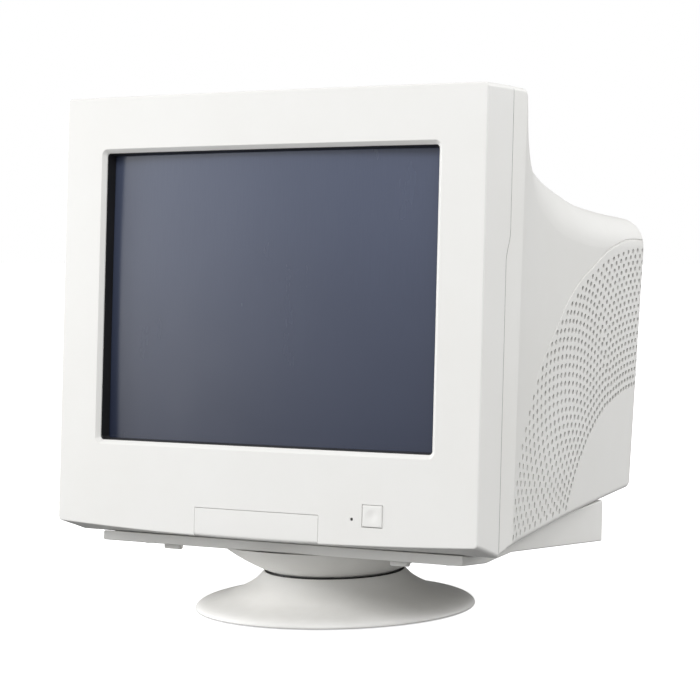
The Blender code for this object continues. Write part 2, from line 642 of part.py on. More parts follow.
def rear_cover():
    rings = []
    for y, half_w, top, radius in COVER:
        body = min(max((y - 0.10) / 0.25, 0.0), 1.0)
        band = min(max(1.0 - (y - 0.068) / 0.09, 0.0), 1.0) if y > 0.05 else 0.0
        low = cover_low(y) + (0.006 if y > 0.379 else 0.0)
        start = y + BAND_LEAN * band * ((low + top) / 2 - 0.33) if y > 0.05 else cover_front
        uprights = SEAM_UPRIGHTS if y < 0.064 else None
        lean = BODY_LEAN * body + BAND_LEAN * band
        rings.append(ring(half_w, low, top, radius, start, 0.0, 0.0, lean, uprights, COVER_LOW_RADIUS))
    cover = loft("rear_cover", rings, CASE, WALL, close_last=True)
    cut_box(cover, (-0.1555, 0.092, -0.03), (0.1555, TRAY_REAR_Y - 0.006, 0.06), "MANIFOLD")
    for side in (-1, 1):
        for k in range(9):
            y = 0.110 + 0.028 * k
            top = 0.232 - 0.9 * max(0.0, 0.27 - y)
            low_x, high_x = sorted((side * 0.14, side * 0.22))
            cut_box(cover, (low_x, y, cover_low(y) + 0.032), (high_x, y + 0.006, top), "MANIFOLD")
    for x in (-0.149, 0.149):
        cut_rod(cover, (x, 0.060, -0.03), (x, 0.060, 0.01), 0.0024, 12, "MANIFOLD")
    for k in range(9):
        x = -0.096 + 0.024 * k
        cut_box(cover, (x - 0.003, 0.235, 0.255), (x + 0.003, 0.335, 0.30), "MANIFOLD")
    return in_head(cover)


def bottom_cover():
    """The tray under the head. Its floor steps up behind the lip, and the rear cover stands on its rim."""
    def tray_top(y):
        under_bezel = -0.0082 if y < 0.035 else -0.0092
        return cover_low(y) - GAP if y > 0.058 else under_bezel

    def outline(stations, inset, floor_lift):
        rings = []
        for y, floor, half_w in stations:
            top = tray_top(y) + (0.03 if inset else 0.0)
            rings.append(ring(half_w - inset, floor + floor_lift, top, 0.0012, y))
        return rings

    front, rear = TRAY_FRONT_Y, TRAY_REAR_Y
    stations = [(front, TRAY_LIP_Z, 0.1770), (0.041, TRAY_LIP_Z, 0.1768),
                (0.057, TRAY_LIP_Z, 0.1764), (0.073, TRAY_LIP_Z, 0.1757),
                (0.088, -0.0143, 0.1750), (0.119, TRAY_FLOOR_Z, 0.1737), (rear, TRAY_FLOOR_Z, 0.1655)]
    tray = loft("bottom_cover", outline(stations, 0.0, 0.0), CASE, 0.0, True, True)
    hollow = [(0.092, -0.0143, 0.1748), (0.119, TRAY_FLOOR_Z, 0.1737), (rear - 0.0026, TRAY_FLOOR_Z, 0.1656)]
    inside = loft("cutter", outline(hollow, 0.0026, 0.0026), None, 0.0, True, True, cutter=True)
    boolean(tray, inside, solver="MANIFOLD")
    cut_box(tray, (-0.062, rear - 0.010, -0.0050), (0.062, rear + 0.010, 0.0200), "MANIFOLD")
    for x in (-0.149, 0.149):
        cut_rod(tray, (x, 0.060, -0.03), (x, 0.060, 0.02), 0.0024, 12, "MANIFOLD")
    for x in (-0.140, 0.140):
        cut_rod(tray, (x, 0.255, -0.03), (x, 0.255, -0.005), 0.0024, 12, "MANIFOLD")
    in_head(tray)
    for number, x in enumerate((-0.112, 0.112), 1):
        low, high = (x - 0.0085, 0.043, -0.0210), (x + 0.0085, 0.048, TRAY_LIP_Z - GAP)
        in_head(box(f"stand_off_pad_{number}", low, high, CASE, 0.0008))
    for number, x in enumerate((-0.149, 0.149), 1):
        seat = (x, 0.060, TRAY_LIP_Z - GAP)
        screw(f"cover_screw_{number}", seat, (0, 0, -1), 0.0036, 0.0022, 0.0018, 0.012)
    for number, x in enumerate((-0.140, 0.140), 3):
        seat = (x, 0.255, TRAY_FLOOR_Z - GAP)
        screw(f"cover_screw_{number}", seat, (0, 0, -1), 0.0036, 0.0022, 0.0018, 0.020)


def rear_sockets():
    """The metal panel in the tray's back, with the mains inlet and the video socket."""
    inlet, video, mid, rear = -0.034, 0.030, 0.0075, TRAY_REAR_Y
    low, high = (-0.066, rear - 0.0052, mid - 0.0143), (0.066, rear - 0.0040, mid + 0.0143)
    panel = box("connector_panel", low, high, STEEL)
    low, high = (inlet - 0.0140, rear - 0.010, mid - 0.0103), (inlet + 0.0140, rear, mid + 0.0103)
    cut_box(panel, low, high)
    cut_box(panel, (video - 0.0090, rear - 0.010, mid - 0.0048), (video + 0.0090, rear, mid + 0.0048))
    in_head(panel)
    low, high = (inlet - 0.0136, rear - 0.0250, mid - 0.0099), (inlet + 0.0136, rear - 0.0020, mid + 0.0099)
    body = box("mains_inlet", low, high, BLACK)
    low, high = (inlet - 0.0152, rear - 0.0037, mid - 0.0118), (inlet + 0.0152, rear - 0.0015, mid + 0.0118)
    boolean(body, box("flange", low, high), "UNION")
    low, high = (inlet - 0.0118, rear - 0.0185, mid - 0.0080), (inlet + 0.0118, rear + 0.010, mid + 0.0080)
    cut_box(body, low, high)
    for x, z in ((-0.007, 0.002), (0.0, -0.002), (0.007, 0.002)):
        low = (inlet + x - 0.001, rear - 0.0220, mid + z - 0.002)
        high = (inlet + x + 0.001, rear - 0.0065, mid + z + 0.002)
        boolean(body, box("pin", low, high), "UNION")
    in_head(body)
    low, high = (video - 0.0086, rear - 0.0200, mid - 0.0044), (video + 0.0086, rear + 0.0020, mid + 0.0044)
    socket = box("video_socket", low, high, BLUE_SHELL)
    for row in (-0.0023, 0.0, 0.0023):
        for k in range(5):
            x = video - 0.0046 + 0.0023 * k
            cut_rod(socket, (x, rear - 0.0020, mid + row), (x, rear + 0.010, mid + row), 0.0005, 6)
    in_head(socket)


def tilt_dome():
    """The spherical cap under the head that rocks in the pedestal's dish."""
    centre = TILT_CENTRE
    hollow_r = DOME_R - DOME_WALL
    outer = [(DOME_R * math.sin(a), -DOME_R * math.cos(a)) for a in angles(0.0, 39.6, 8)]
    inner = [(hollow_r * math.sin(a), -hollow_r * math.cos(a)) for a in angles(0.0, 38.4, 8)]
    dome = turned("tilt_dome", inner + list(reversed(outer)), CASE, 44, centre)
    boolean(dome, box("cutter", (-0.12, 0.0, TRAY_LIP_Z - GAP), (0.12, 0.1196, 0.05), cutter=True))
    cut_box(dome, (-0.12, 0.0, TRAY_FLOOR_Z - GAP), (0.12, 0.25, 0.05))
    cut_box(dome, (-0.0098, centre.y - 0.0250, -0.06), (0.0098, centre.y + 0.0500, 0.0))
    return in_head(dome)


def angles(first, last, steps):
    return [math.radians(first + (last - first) * k / steps) for k in range(steps + 1)]


def dish_z(radius, sphere):
    return TILT_Z - math.sqrt(sphere * sphere - radius * radius)


def pedestal():
    """The foot: a dish for the dome, a flared neck and a wide disc, all one moulded wall."""
    seat = DOME_R + GAP
    dish = [(r, dish_z(r, seat)) for r in (0.0098, 0.022, 0.034, 0.045, 0.0545)]
    lip = [(0.0560, 0.0312), (0.0580, 0.0318), (0.0592, 0.0333), (0.0604, 0.0325)]
    flare = [(0.0622, 0.0300), (0.0650, 0.0268), (0.0695, 0.0232), (0.0750, 0.0198), (0.0810, 0.0168),
             (0.0880, 0.0138), (0.0960, 0.0114), (0.1045, 0.0094), (0.1110, 0.0078), (0.1155, 0.0060)]
    rim = [(0.1179, 0.0038), (PEDESTAL_R, 0.0022), (0.1181, 0.0010), (0.1150, 0.0010)]
    under = [(0.1115, 0.0044), (0.1030, 0.0064), (0.0880, 0.0104), (0.0740, 0.0164), (0.0570, 0.0262)]
    below = [(r, dish_z(r, seat + 0.003)) for r in (0.046, 0.034, 0.022, 0.0098)]
    profile = dish + lip + flare + rim + under + below
    in_base(turned("pedestal", profile + [profile[0]], CASE, 44))
    for number in range(5):
        angle = math.radians(270 + 72 * number)
        x, y = 0.1055 * math.cos(angle), 0.1055 * math.sin(angle)
        in_base(rod(f"foot_{number + 1}", (x, y, 0.0), (x, y, 0.0040), 0.0060, RUBBER, 16))


def swivel_parts():
    """The saddle inside the dome, its pivot bolt and nut, and the washer under the dish."""
    grip = DOME_R - DOME_WALL - GAP
    under = [(r, dish_z(r, grip)) for r in (0.028, 0.018, 0.0090)]
    top = [(0.0033, 0.0310), (0.014, 0.0310), (0.016, 0.0285), (0.028, 0.0310)]
    hub = [(0.0090, 0.0198), (0.0033, 0.0198)]
    profile = top + under + hub
    in_base(turned("swivel_saddle", profile + [profile[0]], BLACK, 32))
    washer = [(0.0033, 0.0192), (0.016, 0.0186), (0.016, 0.0172), (0.0033, 0.0172), (0.0033, 0.0192)]
    in_base(turned("pivot_washer", washer, STEEL, 28))
    bolt = [(0, 0.0385), (0.0028, 0.0385), (0.0028, 0.0169), (0.0070, 0.0169), (0.0070, 0.0125), (0, 0.0125)]
    in_base(turned("pivot_bolt", bolt, STEEL, 24))
    nut = [(0.0031, 0.0365), (0.0065, 0.0365), (0.0065, 0.0313), (0.0031, 0.0313), (0.0031, 0.0365)]
    in_base(turned("pivot_nut", nut, STEEL, 20))


def build():
    front_bezel()
    screen_surround()
    control_pocket()
    flap_door()
    buttons_and_light()
    tube_faceplate()
    shadow_mask()
    tube_funnel()
    electron_gun()
    tube_band()
    degauss_coil()
    neck_parts()
    high_voltage()
    electronics()
    rear_cover()
    bottom_cover()
    rear_sockets()
    tilt_dome()
    pedestal()
    swivel_parts()


build()
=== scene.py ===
"""Looks for the CRT computer monitor. Metres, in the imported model's frame. The screen faces -Y."""

import math

import bmesh
import bpy
import numpy as np
from mathutils import Matrix, Vector
from mathutils.bvhtree import BVHTree


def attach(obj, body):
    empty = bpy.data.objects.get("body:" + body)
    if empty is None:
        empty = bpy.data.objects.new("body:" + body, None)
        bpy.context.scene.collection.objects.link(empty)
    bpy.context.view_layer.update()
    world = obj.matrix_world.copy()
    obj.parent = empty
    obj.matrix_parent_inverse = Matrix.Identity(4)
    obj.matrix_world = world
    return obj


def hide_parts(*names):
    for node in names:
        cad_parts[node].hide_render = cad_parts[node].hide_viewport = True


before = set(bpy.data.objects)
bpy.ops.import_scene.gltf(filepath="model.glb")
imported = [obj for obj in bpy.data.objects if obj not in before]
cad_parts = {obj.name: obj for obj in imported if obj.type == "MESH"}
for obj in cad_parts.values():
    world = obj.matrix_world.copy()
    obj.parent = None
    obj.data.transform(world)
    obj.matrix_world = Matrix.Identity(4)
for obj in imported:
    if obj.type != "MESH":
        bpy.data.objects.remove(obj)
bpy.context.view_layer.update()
SCENE = bpy.context.scene

# ---------------------------------------------------------------- the head's own frame
TILT = math.radians(4.85)
TILT_AT = np.array([0.0, -0.0840, 0.1723])
TILT_CENTRE = np.array([0.0, 0.11202, 0.104835])
CABINET_W = 0.410
FACE_H = 0.3585
FACE_BOW = 0.005
FACE_SAG = 0.005
WALL = 0.0028
WINDOW_W = 0.3235
WINDOW_H = 0.2398
WINDOW_Z = 0.1909
CHAMFER = 0.0034
CORNER = 0.0036
SEAM_LOW_Y = 0.0400
SEAM_HIGH_Y = 0.0460
SEAM_STEP_Z = (0.222, 0.246)


def to_world(points):
    """Points in the head's frame (X right, Y back, Z up from the face's bottom edge) in the model's frame."""
    p = np.asarray(points, float).reshape(-1, 3) - TILT_CENTRE
    c, s = math.cos(TILT), math.sin(TILT)
    return np.stack([p[:, 0], p[:, 1] * c + p[:, 2] * s, p[:, 2] * c - p[:, 1] * s], 1) + TILT_AT


def plain(points):
    return np.asarray(points, float).reshape(-1, 3)


# ---------------------------------------------------------------- materials
def ramp(value, low, high):
    t = np.clip((value - low) / (high - low), 0, 1)
    return t * t * (3 - 2 * t)


class Finish:
    """A material under construction: a Principled shader and short ways to feed it."""

    def __init__(self, name):
        self.material = bpy.data.materials.new(name)
        self.material.use_nodes = True
        self.tree = self.material.node_tree
        self.shader = self.tree.nodes["Principled BSDF"]
        coordinate = self.tree.nodes.new("ShaderNodeTexCoord")
        self.place = coordinate.outputs["Object"]

    def set(self, **values):
        for key, value in values.items():
            self.shader.inputs[key.replace("_", " ")].default_value = value
        return self

    def node(self, kind, inputs=None, **settings):
        made = self.tree.nodes.new(kind)
        for key, value in settings.items():
            setattr(made, key, value)
        for key, value in (inputs or {}).items():
            if isinstance(value, bpy.types.NodeSocket):
                self.tree.links.new(value, made.inputs[key])
            else:
                made.inputs[key].default_value = value
        return made

    def noise(self, scale, detail=3.0, roughness=0.55, stretch=None):
        place = self.place
        if stretch:
            place = self.node("ShaderNodeMapping", {"Vector": place, "Scale": stretch}).outputs["Vector"]
        made = self.node("ShaderNodeTexNoise", {"Vector": place, "Scale": scale, "Detail": detail, "Roughness": roughness})
        return made.outputs["Fac"]

    def remap(self, value, low, high, to_low, to_high):
        inputs = {"Value": value, "From Min": low, "From Max": high, "To Min": to_low, "To Max": to_high}
        return self.node("ShaderNodeMapRange", inputs).outputs["Result"]

    def math(self, operation, a, b):
        return self.node("ShaderNodeMath", {0: a, 1: b}, operation=operation).outputs["Value"]

    def mix(self, factor, a, b):
        made = self.node("ShaderNodeMix", data_type="RGBA")
        for socket, value in ((made.inputs[0], factor), (made.inputs[6], a), (made.inputs[7], b)):
            if isinstance(value, bpy.types.NodeSocket):
                self.tree.links.new(value, socket)
            else:
                socket.default_value = value if isinstance(value, float) else (*value, 1.0)
        return made.outputs[2]

    def feed(self, name, value):
        self.tree.links.new(value, self.shader.inputs[name])
        return self

    def bump(self, height, strength, distance, under=None):
        inputs = {"Height": height, "Strength": strength, "Distance": distance}
        if under is not None:
            inputs["Normal"] = under
        return self.node("ShaderNodeBump", inputs).outputs["Normal"]


def moulded(name, light, dark, dust, rough, grain=1500.0, grain_depth=0.00003):
    """Moulded plastic: a fine spark-eroded grain, slow sink marks, blotches of age and dust on what faces up."""
    made = Finish(name)
    blotch = made.remap(made.noise(9.0, 5.0, 0.6), 0.30, 0.72, 0.0, 1.0)
    speck = made.remap(made.noise(420.0, 2.0, 0.5), 0.35, 0.75, 0.0, 1.0)
    colour = made.mix(blotch, light, dark)
    colour = made.mix(made.math("MULTIPLY", speck, 0.10), colour, dark)
    up = made.node("ShaderNodeSeparateXYZ", {"Vector": made.node("ShaderNodeNewGeometry").outputs["Normal"]})
    settled = made.math("MULTIPLY", made.remap(up.outputs["Z"], 0.75, 1.0, 0.0, 0.5), made.noise(60.0, 4.0, 0.65))
    made.feed("Base Color", made.mix(settled, colour, dust))
    smear = made.noise(26.0, 4.0, 0.6, (1.0, 1.0, 0.45))
    made.feed("Roughness", made.remap(smear, 0.25, 0.75, rough - 0.05, rough + 0.07))
    sink = made.bump(made.noise(14.0, 2.0), 0.25, 0.0006)
    made.feed("Normal", made.bump(made.noise(grain, 2.0, 0.5), 0.55, grain_depth, sink))
    return made.set(Specular_IOR_Level=0.42)


def metal(name, colour, dark, rough, stretch, scale=240.0):
    made = Finish(name)
    streak = made.remap(made.noise(scale, 4.0, 0.6, stretch), 0.3, 0.7, 0.0, 1.0)
    stain = made.remap(made.noise(30.0, 5.0, 0.62), 0.45, 0.75, 0.0, 0.6)
    made.feed("Base Color", made.mix(stain, made.mix(streak, colour, dark), dark))
    made.feed("Roughness", made.remap(streak, 0.0, 1.0, rough - 0.08, rough + 0.10))
    made.feed("Normal", made.bump(streak, 0.25, 0.00004))
    return made.set(Metallic=1.0)


CASE = moulded("case_plastic", (0.800, 0.797, 0.778), (0.772, 0.766, 0.740), (0.62, 0.60, 0.56), 0.46)
FOOT = moulded("pedestal_plastic", (0.805, 0.800, 0.782), (0.776, 0.769, 0.745), (0.62, 0.60, 0.56), 0.40, 1700.0, 0.00002)
BEZEL = moulded("bezel_plastic", (0.806, 0.803, 0.786), (0.782, 0.777, 0.754), (0.64, 0.62, 0.58), 0.42, 1700.0, 0.00002)
BLACK = moulded("black_plastic", (0.008, 0.008, 0.009), (0.014, 0.014, 0.015), (0.09, 0.09, 0.09), 0.38, 1400.0)
RUBBER = moulded("foot_rubber", (0.030, 0.030, 0.031), (0.045, 0.044, 0.043), (0.12, 0.12, 0.12), 0.72, 900.0, 0.00006)
FERRITE = moulded("ferrite", (0.060, 0.060, 0.065), (0.085, 0.083, 0.085), (0.15, 0.15, 0.15), 0.62, 700.0, 0.00006)
STEEL = metal("zinc_steel", (0.60, 0.61, 0.62), (0.48, 0.48, 0.47), 0.36, (1.0, 0.1, 1.0))
ALUMINIUM = metal("aluminium", (0.74, 0.75, 0.76), (0.63, 0.64, 0.66), 0.34, (1.0, 1.0, 0.06))
SCREWS = metal("screw_steel", (0.50, 0.50, 0.49), (0.30, 0.29, 0.27), 0.40, (1.0, 1.0, 1.0), 600.0)


def winding():
    """Enamelled copper wire, wound in rows."""
    made = Finish("copper_winding")
    rows = made.node("ShaderNodeTexWave", {"Vector": made.place, "Scale": 160.0, "Distortion": 1.2, "Detail": 2.0})
    made.feed("Base Color", made.mix(rows.outputs["Fac"], (0.30, 0.10, 0.035), (0.62, 0.27, 0.11)))
    made.feed("Roughness", made.remap(made.noise(40.0), 0.3, 0.7, 0.26, 0.42))
    made.feed("Normal", made.bump(rows.outputs["Fac"], 0.7, 0.0004))
    return made.set(Metallic=0.85)


def circuit_board():
    """Green solder mask with lighter tracks and pads."""
    made = Finish("circuit_board")
    cells = made.node("ShaderNodeTexVoronoi", {"Vector": made.place, "Scale": 130.0}, feature="DISTANCE_TO_EDGE")
    track = made.remap(cells.outputs["Distance"], 0.03, 0.06, 1.0, 0.0)
    tone = made.mix(made.noise(20.0), (0.030, 0.100, 0.035), (0.055, 0.150, 0.050))
    made.feed("Base Color", made.mix(track, tone, (0.12, 0.24, 0.09)))
    made.feed("Roughness", made.remap(made.noise(90.0), 0.3, 0.7, 0.35, 0.50))
    made.feed("Normal", made.bump(track, 0.3, 0.00008))
    return made


def sleeve(name, light, dark, rough):
    made = Finish(name)
    made.feed("Base Color", made.mix(made.noise(35.0, 4.0), light, dark))
    made.feed("Roughness", made.remap(made.noise(70.0), 0.3, 0.7, rough - 0.06, rough + 0.08))
    made.feed("Normal", made.bump(made.noise(260.0, 3.0, 0.6, (1.0, 1.0, 0.3)), 0.3, 0.00006))
    return made


def coated_glass():
    """The graphite coat painted on the tube's funnel, with brush marks."""
    made = Finish("graphite_coat")
    brush = made.noise(60.0, 4.0, 0.6, (1.0, 0.15, 1.0))
    made.feed("Base Color", made.mix(brush, (0.020, 0.020, 0.022), (0.055, 0.055, 0.058)))
    made.feed("Roughness", made.remap(brush, 0.3, 0.7, 0.55, 0.75))
    made.feed("Normal", made.bump(brush, 0.5, 0.0002))
    return made


def screen_glass():
    """The tube's face: tinted glass over grey phosphor, with a fine stripe, a painted reflection that lightens the
    glass towards the top, soft mottling and finger smears.
    """
    made = Finish("screen_glass")
    stripe = made.noise(2600.0, 1.0, 0.5, (1.0, 0.05, 0.02))
    height = made.node("ShaderNodeSeparateXYZ", {"Vector": made.place}).outputs["Z"]
    # Painted reflection: the glass's colour is lighter towards the top, standing in for the studio reflected in it; a
    # slow noise mottles it.
    painted_reflection = made.remap(height, 0.16, 0.38, 0.0, 1.0)
    reflection_and_mottle = made.math("ADD", painted_reflection, made.remap(made.noise(3.2, 3.0, 0.5), 0.3, 0.7, -0.12, 0.12))
    tone = made.mix(reflection_and_mottle, (0.030, 0.038, 0.068), (0.072, 0.088, 0.142))
    made.feed("Base Color", made.mix(made.remap(stripe, 0.4, 0.6, 0.0, 0.12), tone, (0.036, 0.046, 0.080)))
    smear = made.noise(18.0, 5.0, 0.65, (1.0, 1.0, 0.35))
    made.feed("Roughness", made.remap(smear, 0.3, 0.75, 0.20, 0.30))
    made.feed("Normal", made.bump(made.noise(900.0, 2.0, 0.5), 0.12, 0.00002))
    return made.set(Specular_IOR_Level=0.45, IOR=1.52)


WINDING = winding()
BOARD = circuit_board()
LEAD = sleeve("red_insulation", (0.42, 0.030, 0.020), (0.34, 0.022, 0.016), 0.38)
CAN = sleeve("capacitor_sleeve", (0.035, 0.050, 0.120), (0.022, 0.032, 0.080), 0.34)
SHELL = sleeve("socket_insulator", (0.040, 0.070, 0.300), (0.028, 0.052, 0.230), 0.42)
COAT = coated_glass()
GLASS = screen_glass()
LENS = sleeve("light_lens", (0.010, 0.012, 0.010), (0.020, 0.024, 0.018), 0.18)

# ---------------------------------------------------------------- mesh helpers
COLLECTION = bpy.data.collections.new("looks")
SCENE.collection.children.link(COLLECTION)


def raw_object(name, points, faces, finish=None):
    mesh = bpy.data.meshes.new(name)
    mesh.from_pydata([tuple(p) for p in points], [], faces)
    mesh.validate()
    bm = bmesh.new()
    bm.from_mesh(mesh)
    bmesh.ops.recalc_face_normals(bm, faces=bm.faces)
    bm.to_mesh(mesh)
    bm.free()
    obj = bpy.data.objects.new(name, mesh)
    COLLECTION.objects.link(obj)
    if finish:
        mesh.materials.append(finish.material)
    return obj


def soften(obj, angle=35.0, weighted=True):
    """Smooth shading with sharp edges kept, and normals weighted to the larger faces."""
    obj.data.shade_smooth()
    obj.data.set_sharp_from_angle(angle=math.radians(angle))
    if weighted:
        modifier = obj.modifiers.new("weighted", "WEIGHTED_NORMAL")
        modifier.keep_sharp = True
        modifier.weight = 80
        settle(obj)
    return obj


def settle(obj):
    """Applies the object's modifiers."""
    bpy.context.view_layer.update()
    graph = bpy.context.evaluated_depsgraph_get()
    made = bpy.data.meshes.new_from_object(obj.evaluated_get(graph), preserve_all_data_layers=True, depsgraph=graph)
    obj.modifiers.clear()
    obj.data = made
    return obj


def belongs(obj, body, slot, *nodes):
    """Puts a finished piece on its CAD body, in place of the CAD nodes it stands for."""
    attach(obj, body)
    if nodes:
        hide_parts(*nodes)
    return obj


def skin(rings, closed=False, cap_first=False, cap_last=False):
    """(points, faces) of a skin over rings that all have the same number of points."""
    count = len(rings[0])
    points = np.concatenate([np.asarray(ring, float) for ring in rings])
    faces = []
    last = len(rings) if closed else len(rings) - 1
    for r in range(last):
        a, b = r * count, (r + 1) % len(rings) * count
        for i in range(count):
            j = (i + 1) % count
            faces.append((a + i, b + i, b + j, a + j))
    if cap_first:
        faces.append(tuple(range(count)))
    if cap_last:
        faces.append(tuple(reversed(range((len(rings) - 1) * count, len(rings) * count))))
    return points, faces


def rectangle(half_w, low, high, radius, low_radius=None, corner=8, across=25, uprights=None):
    """(x, z) of a rounded rectangle's outline, from the bottom left corner, anticlockwise as the viewer sees it."""
    radius = min(radius, half_w * 0.999, (high - low) * 0.4995)
    small = min(low_radius if low_radius else radius, radius)
    if uprights is None:
        uprights = np.linspace(low, high, 18)[1:-1]
    uprights = np.clip(uprights, low + small * 1.02, high - radius * 1.02)
    order = np.linspace(0, 1e-5, len(uprights))
    uprights = np.sort(uprights) + order
    corners = [(-half_w + small, low + small, 180, small), (half_w - small, low + small, 270, small),
               (half_w - radius, high - radius, 0, radius), (-half_w + radius, high - radius, 90, radius)]
    share = np.linspace(-1, 1, across + 2)[1:-1]
    sides = [
        [(x, low) for x in share * (half_w - small)],
        [(half_w, z) for z in uprights],
        [(-x, high) for x in share * (half_w - radius)],
        [(-half_w, z) for z in reversed(uprights)],
    ]
    outline = []
    for (x, z, first, size), side in zip(corners, sides):
        for k in range(corner + 1):
            angle = math.radians(first + 90 * k / corner)
            outline.append((x + size * math.cos(angle), z + size * math.sin(angle)))
        outline += side
    return np.array(outline)


def prism(name, outline, start, across, up, along, low, high):
    """A closed prism: a 2-D outline drawn with two directions, pushed from low to high along a third."""
    start, across, up, along = (np.asarray(v, float) for v in (start, across, up, along))
    flat = start + np.outer(outline[:, 0], across) + np.outer(outline[:, 1], up)
    points, faces = skin([flat + along * low, flat + along * high], cap_first=True, cap_last=True)
    return raw_object(name, points, faces)


def joined(pieces):
    """Several closed meshes as one, for one Boolean."""
    bm = bmesh.new()
    for piece in pieces:
        bm.from_mesh(piece.data)
        bpy.data.objects.remove(piece, do_unlink=True)
    mesh = bpy.data.meshes.new("cutters")
    bm.to_mesh(mesh)
    bm.free()
    obj = bpy.data.objects.new("cutters", mesh)
    COLLECTION.objects.link(obj)
    return obj


def carve(obj, cutter, operation="DIFFERENCE", solver="MANIFOLD"):
    """Cuts obj and then gives its old surfaces their old shading back, so the cuts leave no dents in it."""
    before = obj.data
    before.calc_loop_triangles()
    corners = [tuple(t.vertices) for t in before.loop_triangles]
    loops = [tuple(t.loops) for t in before.loop_triangles]
    points = [v.co.copy() for v in before.vertices]
    normals = [Vector(n.vector) for n in before.corner_normals]
    tree = BVHTree.FromPolygons(points, corners)
    modifier = obj.modifiers.new("carve", "BOOLEAN")
    modifier.operation = operation
    modifier.solver = solver
    modifier.object = cutter
    settle(obj)
    bpy.data.objects.remove(cutter, do_unlink=True)
    mesh = obj.data
    mesh.shade_smooth()
    found = [Vector((0, 0, 1))] * len(mesh.loops)
    for face in mesh.polygons:
        centre, flat = face.center, face.normal
        for loop in face.loop_indices:
            place = mesh.vertices[mesh.loops[loop].vertex_index].co
            near, normal, index, away = tree.find_nearest(place.lerp(centre, 0.02))
            found[loop] = flat
            if index is None or away > 0.00004 + 0.01 * (place - centre).length or abs(normal.dot(flat)) < 0.94:
                continue
            a, b, c = (points[v] for v in corners[index])
            weights = barycentric(place, a, b, c)
            blended = sum((normals[l] * w for l, w in zip(loops[index], weights)), Vector())
            if blended.length > 0.1 and blended.normalized().dot(flat) > 0.5:
                found[loop] = blended.normalized()
    mesh.normals_split_custom_set(found)
    return obj


def barycentric(p, a, b, c):
    u, v, w = b - a, c - a, p - a
    uu, uv, vv, wu, wv = u.dot(u), u.dot(v), v.dot(v), w.dot(u), w.dot(v)
    scale = uu * vv - uv * uv
    if abs(scale) < 1e-20:
        return 1 / 3, 1 / 3, 1 / 3
    s, t = (vv * wu - uv * wv) / scale, (uu * wv - uv * wu) / scale
    s, t = min(max(s, 0), 1), min(max(t, 0), 1)
    return 1 - s - t, s, t


def rounded_box(name, low, high, radius, finish, place=to_world, segments=4):
    low, high = Vector(low), Vector(high)
    bm = bmesh.new()
    bmesh.ops.create_cube(bm, size=1.0, matrix=Matrix.Translation((low + high) / 2) @ Matrix.Diagonal((*(high - low), 1.0)))
    bmesh.ops.bevel(bm, geom=bm.edges[:], offset=radius, segments=segments, affect="EDGES", profile=0.5)
    mesh = bpy.data.meshes.new(name)
    bm.to_mesh(mesh)
    bm.free()
    points = place([v.co[:] for v in mesh.vertices])
    mesh.vertices.foreach_set("co", points.astype(np.float32).ravel())
    mesh.update()
    obj = bpy.data.objects.new(name, mesh)
    COLLECTION.objects.link(obj)
    if finish:
        mesh.materials.append(finish.material)
        soften(obj)
    return obj


def cutter_box(low, high):
    return rounded_box("cutter", low, high, 0.00002, None, segments=1)


def turned(name, profile, steps, finish, centre, place=plain):
    """A closed profile of (radius, height) turned round the Z axis through a centre."""
    rings = []
    for k in range(steps):
        angle = 2 * math.pi * k / steps
        ring = [(r * math.cos(angle), r * math.sin(angle), h) for r, h in profile]
        rings.append(np.array(ring) + np.array(centre))
    points, faces = skin(rings, closed=True)
    return raw_object(name, place(points), faces, finish)


def smooth_curve(xs, ys, at):
    """A monotone cubic through the points, for profiles."""
    xs, ys = np.asarray(xs, float), np.asarray(ys, float)
    h = np.diff(xs)
    d = np.diff(ys) / h
    m = np.zeros(len(xs))
    for i in range(1, len(xs) - 1):
        if d[i - 1] * d[i] > 0:
            w1, w2 = 2 * h[i] + h[i - 1], h[i] + 2 * h[i - 1]
            m[i] = (w1 + w2) / (w1 / d[i - 1] + w2 / d[i])
    m[0], m[-1] = d[0], d[-1]
    at = np.clip(np.asarray(at, float), xs[0], xs[-1])
    i = np.clip(np.searchsorted(xs, at) - 1, 0, len(xs) - 2)
    t = (at - xs[i]) / h[i]
    a = (1 + 2 * t) * (1 - t) ** 2 * ys[i] + t * (1 - t) ** 2 * h[i] * m[i]
    return a + t * t * (3 - 2 * t) * ys[i + 1] + t * t * (t - 1) * h[i] * m[i + 1]


# ---------------------------------------------------------------- front bezel
SEAM_UPRIGHTS = np.concatenate([np.linspace(0.012, 0.214, 12), np.linspace(0.220, 0.248, 11), np.linspace(0.256, 0.345, 6)])
BUTTON = (0.1119, 0.0203, 0.0183, 0.0172)
FLAP_X = (-0.0585, 0.0620)
FLAP_TOP_Z = 0.0185
LIGHT = (0.0931, 0.0171)


def seam_y(z):
    return SEAM_LOW_Y + (SEAM_HIGH_Y - SEAM_LOW_Y) * ramp(z, *SEAM_STEP_Z) + 0.004 * (z - 0.18) * 0.5


def face_ring(half_w, low, high, radius, depth, bow=FACE_BOW, sag=0.0, uprights=None):
    flat = rectangle(half_w, low, high, radius, uprights=uprights)
    x, z = flat[:, 0], flat[:, 1]
    middle = (low + high) / 2
    y = (depth(z) if callable(depth) else depth) + bow * (2 * x / CABINET_W) ** 2
    hang = np.where(z < middle, sag * (1 - (x / half_w) ** 2), 0.0)
    return np.stack([x, y, z - hang], 1)


